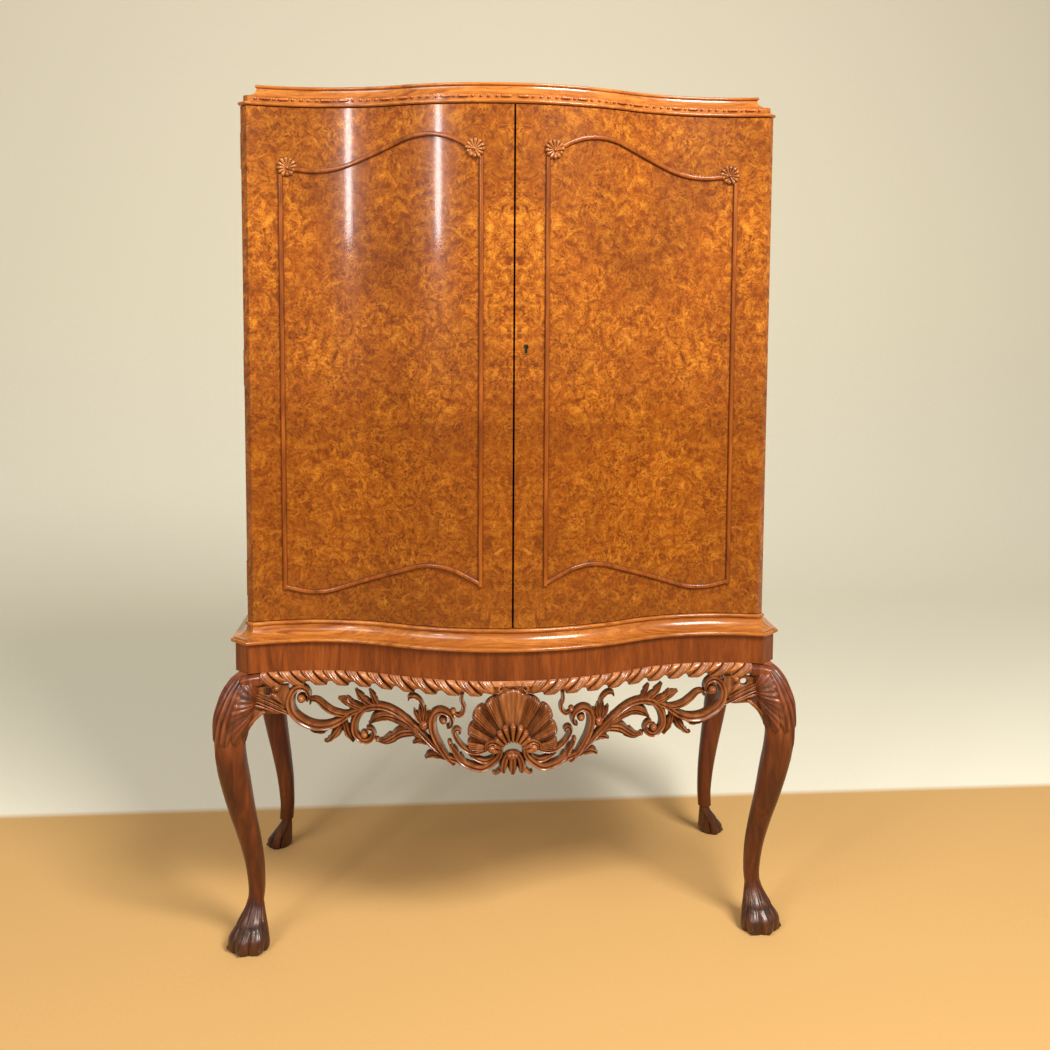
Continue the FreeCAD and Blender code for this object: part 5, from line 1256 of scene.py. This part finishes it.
# Outline of a paw at each height: centre forwards, then reach to the front, the back and each side
PAW_OUTLINE = (
    (92, -33, 12, 12, 12), (83, -31.5, 14.6, 14.4, 14.6), (73, -29, 17, 15.8, 17),
    (62, -24.5, 21, 18.5, 21.5), (50, -18.5, 25, 22, 27), (38, -13.5, 29, 24.5, 32),
    (27, -9.5, 32.5, 26.5, 35.5), (16, -7, 35, 28, 38.5), (7, -6, 34.5, 27.5, 38.5),
    (2, -6, 32, 25.5, 36.5), (0, -6, 29.5, 23.5, 34.5))
TOE_WIDTH, TOE_COUNT, TOE_GROOVE, TOE_TOP, TOE_RUN = 54.0, 5, 7.0, 46.0, 16.0
KNUCKLE_SWELL, KNUCKLE_DIP, SOLE_TOP = 2.6, 1.6, 9.0
TUFT_WIDTH, TUFT_GROOVE = 76.0, 3.2
CLAW_HEIGHT, CLAW_WIDTH = 4.0, 5.0
FUR_HEIGHT, FUR_MARK, FUR_FOOT, FUR_TOP = 0.9, 0.6, 14.0, 84.0
# Height and spread of what is carved on a paw
KNUCKLE, DIP, FOLD, CLAW, TUFT = (25.0, 9.0), (42.0, 5.0), (41.0, 5.0), (8.0, 5.0), (56.0, 15.0)
FRONT_FLOOR, FRONT_HEADING = Vector((480.82, -184.78, 0)), Vector((0.342, -0.940, 0))
REAR_FLOOR, REAR_HEADING, REAR_SCALE = Vector((483.70, 243.81, 0)), Vector((0.819, 0.574, 0)), 0.75


def hump(value, centre, width):
    return exp(-((value - centre) / width) ** 2)


def paw_skin(angle, z):
    """How far the carving of a paw moves its skin outwards, and its hollowness, which the finish paints as
    shade; angle is from the front.
    """
    toe = round(angle / TOE_WIDTH)
    low = clamp((TOE_TOP - z) / TOE_RUN)
    # Painted shade darkens the sole towards the floor and the gaps between toes and tufts
    move, mark = 0.0, 0.45 * max(0.0, 1.0 - z / SOLE_TOP)
    if abs(toe) <= TOE_COUNT // 2:
        across = 2 * angle / TOE_WIDTH - 2 * toe
        gap = 1 - sqrt(max(0.0, 1 - across * across))
        move -= TOE_GROOVE * gap * low
        mark += 0.9 * gap ** 2 * low
    if abs(toe) <= 1:
        move += KNUCKLE_SWELL * hump(z, *KNUCKLE) - KNUCKLE_DIP * hump(z, *DIP)
        move += CLAW_HEIGHT * hump(angle, toe * TOE_WIDTH, CLAW_WIDTH) * hump(z, *CLAW)
        mark += 0.45 * hump(z, *FOLD)
    tuft = angle / TUFT_WIDTH
    gap = 1 - sqrt(max(0.0, 1 - (2 * (tuft % 1.0) - 1) ** 2))
    upper = hump(z, *TUFT)
    move -= TUFT_GROOVE * gap * upper
    mark += 0.8 * gap ** 2 * upper
    hair = noise.noise(Vector((angle * 0.13, z * 0.03, 2.0)))
    hair += 0.5 * noise.noise(Vector((angle * 0.29, z * 0.04, 7.0)))
    furry = clamp(min((z - FUR_FOOT) / 14.0, (FUR_TOP - z) / 10.0))
    move += FUR_HEIGHT * hair * furry
    return move, clamp(mark + 0.15 - FUR_MARK * hair * furry)


def paw(name, hand, floor, heading, scale):
    """Lion's paw: a bell with tufts of fur above and toes with short claws below."""
    sideways = Vector((-heading.y, heading.x, 0))
    around = 180
    rings = []
    for z, centre, front, back, side in through(PAW_OUTLINE, 8):
        ring = []
        for i in range(around):
            angle = 360.0 * i / around - 180.0
            move, mark = paw_skin(angle, z)
            along, aside = cos(radians(angle)), sin(radians(angle))
            size = 1 / hypot(along / (front if along > 0 else back), aside / side) + move
            spot = floor + (heading * (centre + size * along) + sideways * (size * aside)) * scale
            ring.append((Vector((hand * spot.x, min(spot.y, BACK_PLANE), max(z, 0.0) * scale)), mark))
        rings.append(ring)
    make(name, Shape(rings), PAW_WOOD, angle=75.0)


for hand, sign, _ in HANDS:
    front_leg = leg(sign, FRONT_START, FRONT_WAY, 0.0, True)
    make("knee_and_leg_" + hand, front_leg, KNEE_WOOD, ("leg_front_" + hand,), 70.0)
    rear_leg = leg(sign, REAR_START, REAR_WAY, REAR_TUCK, False)
    make("rear_leg_" + hand, rear_leg, LEG_WOOD, ("leg_rear_" + hand,), 50.0)
    make("post_front_" + hand, front_post(sign), VENEER, angle=30.0)
    make("post_rear_" + hand, rear_post(sign), VENEER, angle=30.0)
    paw("paw_front_" + hand, sign, FRONT_FLOOR, FRONT_HEADING, 1.0)
    paw("paw_rear_" + hand, sign, REAR_FLOOR, REAR_HEADING, REAR_SCALE)

# Camera at the photograph's place

FOCAL, CENTRE_U, CENTRE_V, IMAGE = 1149.82, 546.86, 418.75, 1050.0
YAW, PITCH, ROLL = 0.0905, -0.0851, 0.0074
CAMERA_SPOT = (-0.12408, -2.24417, 1.15407)
SENSOR = 36.0
forward = Vector((sin(YAW) * cos(PITCH), cos(YAW) * cos(PITCH), sin(PITCH)))
level = Vector((cos(YAW), -sin(YAW), 0))
upward = level.cross(forward)
right = cos(ROLL) * level + sin(ROLL) * upward
top = -sin(ROLL) * level + cos(ROLL) * upward
lens = bpy.data.cameras.new("camera")
lens.sensor_width = SENSOR
lens.lens = SENSOR * FOCAL / IMAGE
lens.shift_x = (IMAGE / 2 - CENTRE_U) / IMAGE
lens.shift_y = (CENTRE_V - IMAGE / 2) / IMAGE
camera = bpy.data.objects.new("camera", lens)
turn = Matrix((right, top, -forward)).transposed()
camera.matrix_world = Matrix.Translation(CAMERA_SPOT) @ turn.to_4x4()
bpy.context.scene.collection.objects.link(camera)
bpy.context.scene.camera = camera

# Stage and light

FLOOR_TONE, WALL_TONE, MOTTLE_TONE = srgb(214, 170, 106), srgb(250, 246, 228), srgb(120, 110, 90)
FLOOR_END, FLOOR_BLEND = 0.42, 0.03
WALL_Y, SWEEP, WIDE, TALL = 3.6, 1.2, 14.0, 5.0
SWEEP_STEPS = 16
MIDDLE = (0.0, 0.0, 0.85)
SKY_COLOUR, SKY_STRENGTH = (1.0, 0.97, 0.92, 1.0), 0.30


def lamp(name, spot, aim, width, height, watts, colour):
    data = bpy.data.lights.new(name, "AREA")
    data.shape = "RECTANGLE"
    data.size, data.size_y = width, height
    data.energy = watts
    data.color = colour
    item = bpy.data.objects.new(name, data)
    item.location = spot
    item.rotation_euler = (Vector(aim) - Vector(spot)).to_track_quat("-Z", "Y").to_euler()
    bpy.context.scene.collection.objects.link(item)


def backdrop():
    """Floor that sweeps up into a wall, tan in front and pale behind."""
    f = Finish("backdrop_paint")
    place = f.place()
    depth = f.split(place)[1]
    mottle = f.noise(place, 160.0, 3.0)
    colour = f.mix(f.shade(FLOOR_END, FLOOR_END + FLOOR_BLEND, depth), FLOOR_TONE, WALL_TONE)
    f.set(base_color=f.mix(f.shade(0.3, 0.7, mottle, 0.0, 0.06), colour, MOTTLE_TONE), roughness=0.9)
    profile = [(-WIDE, 0.0), (WALL_Y - SWEEP, 0.0)]
    for k in range(1, SWEEP_STEPS + 1):
        angle = pi / 2 * k / SWEEP_STEPS
        profile.append((WALL_Y - SWEEP + SWEEP * sin(angle), SWEEP - SWEEP * cos(angle)))
    profile.append((WALL_Y, TALL))
    points = [(x, y, z) for y, z in profile for x in (-WIDE, WIDE)]
    faces = [(2 * k, 2 * k + 1, 2 * k + 3, 2 * k + 2) for k in range(len(profile) - 1)]
    mesh = bpy.data.meshes.new("backdrop")
    mesh.from_pydata(points, [], faces)
    mesh.shade_smooth()
    mesh.materials.append(f.material)
    item = bpy.data.objects.new("backdrop", mesh)
    bpy.context.scene.collection.objects.link(item)


backdrop()
lamp("key", (1.25, -2.1, 3.0), (0.05, 0.0, 1.4), 1.2, 0.9, 145.0, (1.0, 0.95, 0.86))
lamp("fill", (-2.1, -2.6, 3.5), MIDDLE, 1.8, 1.4, 60.0, (1.0, 0.96, 0.90))
lamp("strip", (-1.78, -2.72, 1.80), (-0.24, -0.18, 1.41), 0.14, 0.60, 12.0, (1.0, 0.96, 0.97))

world = bpy.data.worlds.new("studio")
world.use_nodes = True
sky = world.node_tree.nodes["Background"]
sky.inputs["Color"].default_value = SKY_COLOUR
sky.inputs["Strength"].default_value = SKY_STRENGTH
bpy.context.scene.world = world
bpy.context.scene.view_settings.view_transform = "Standard"
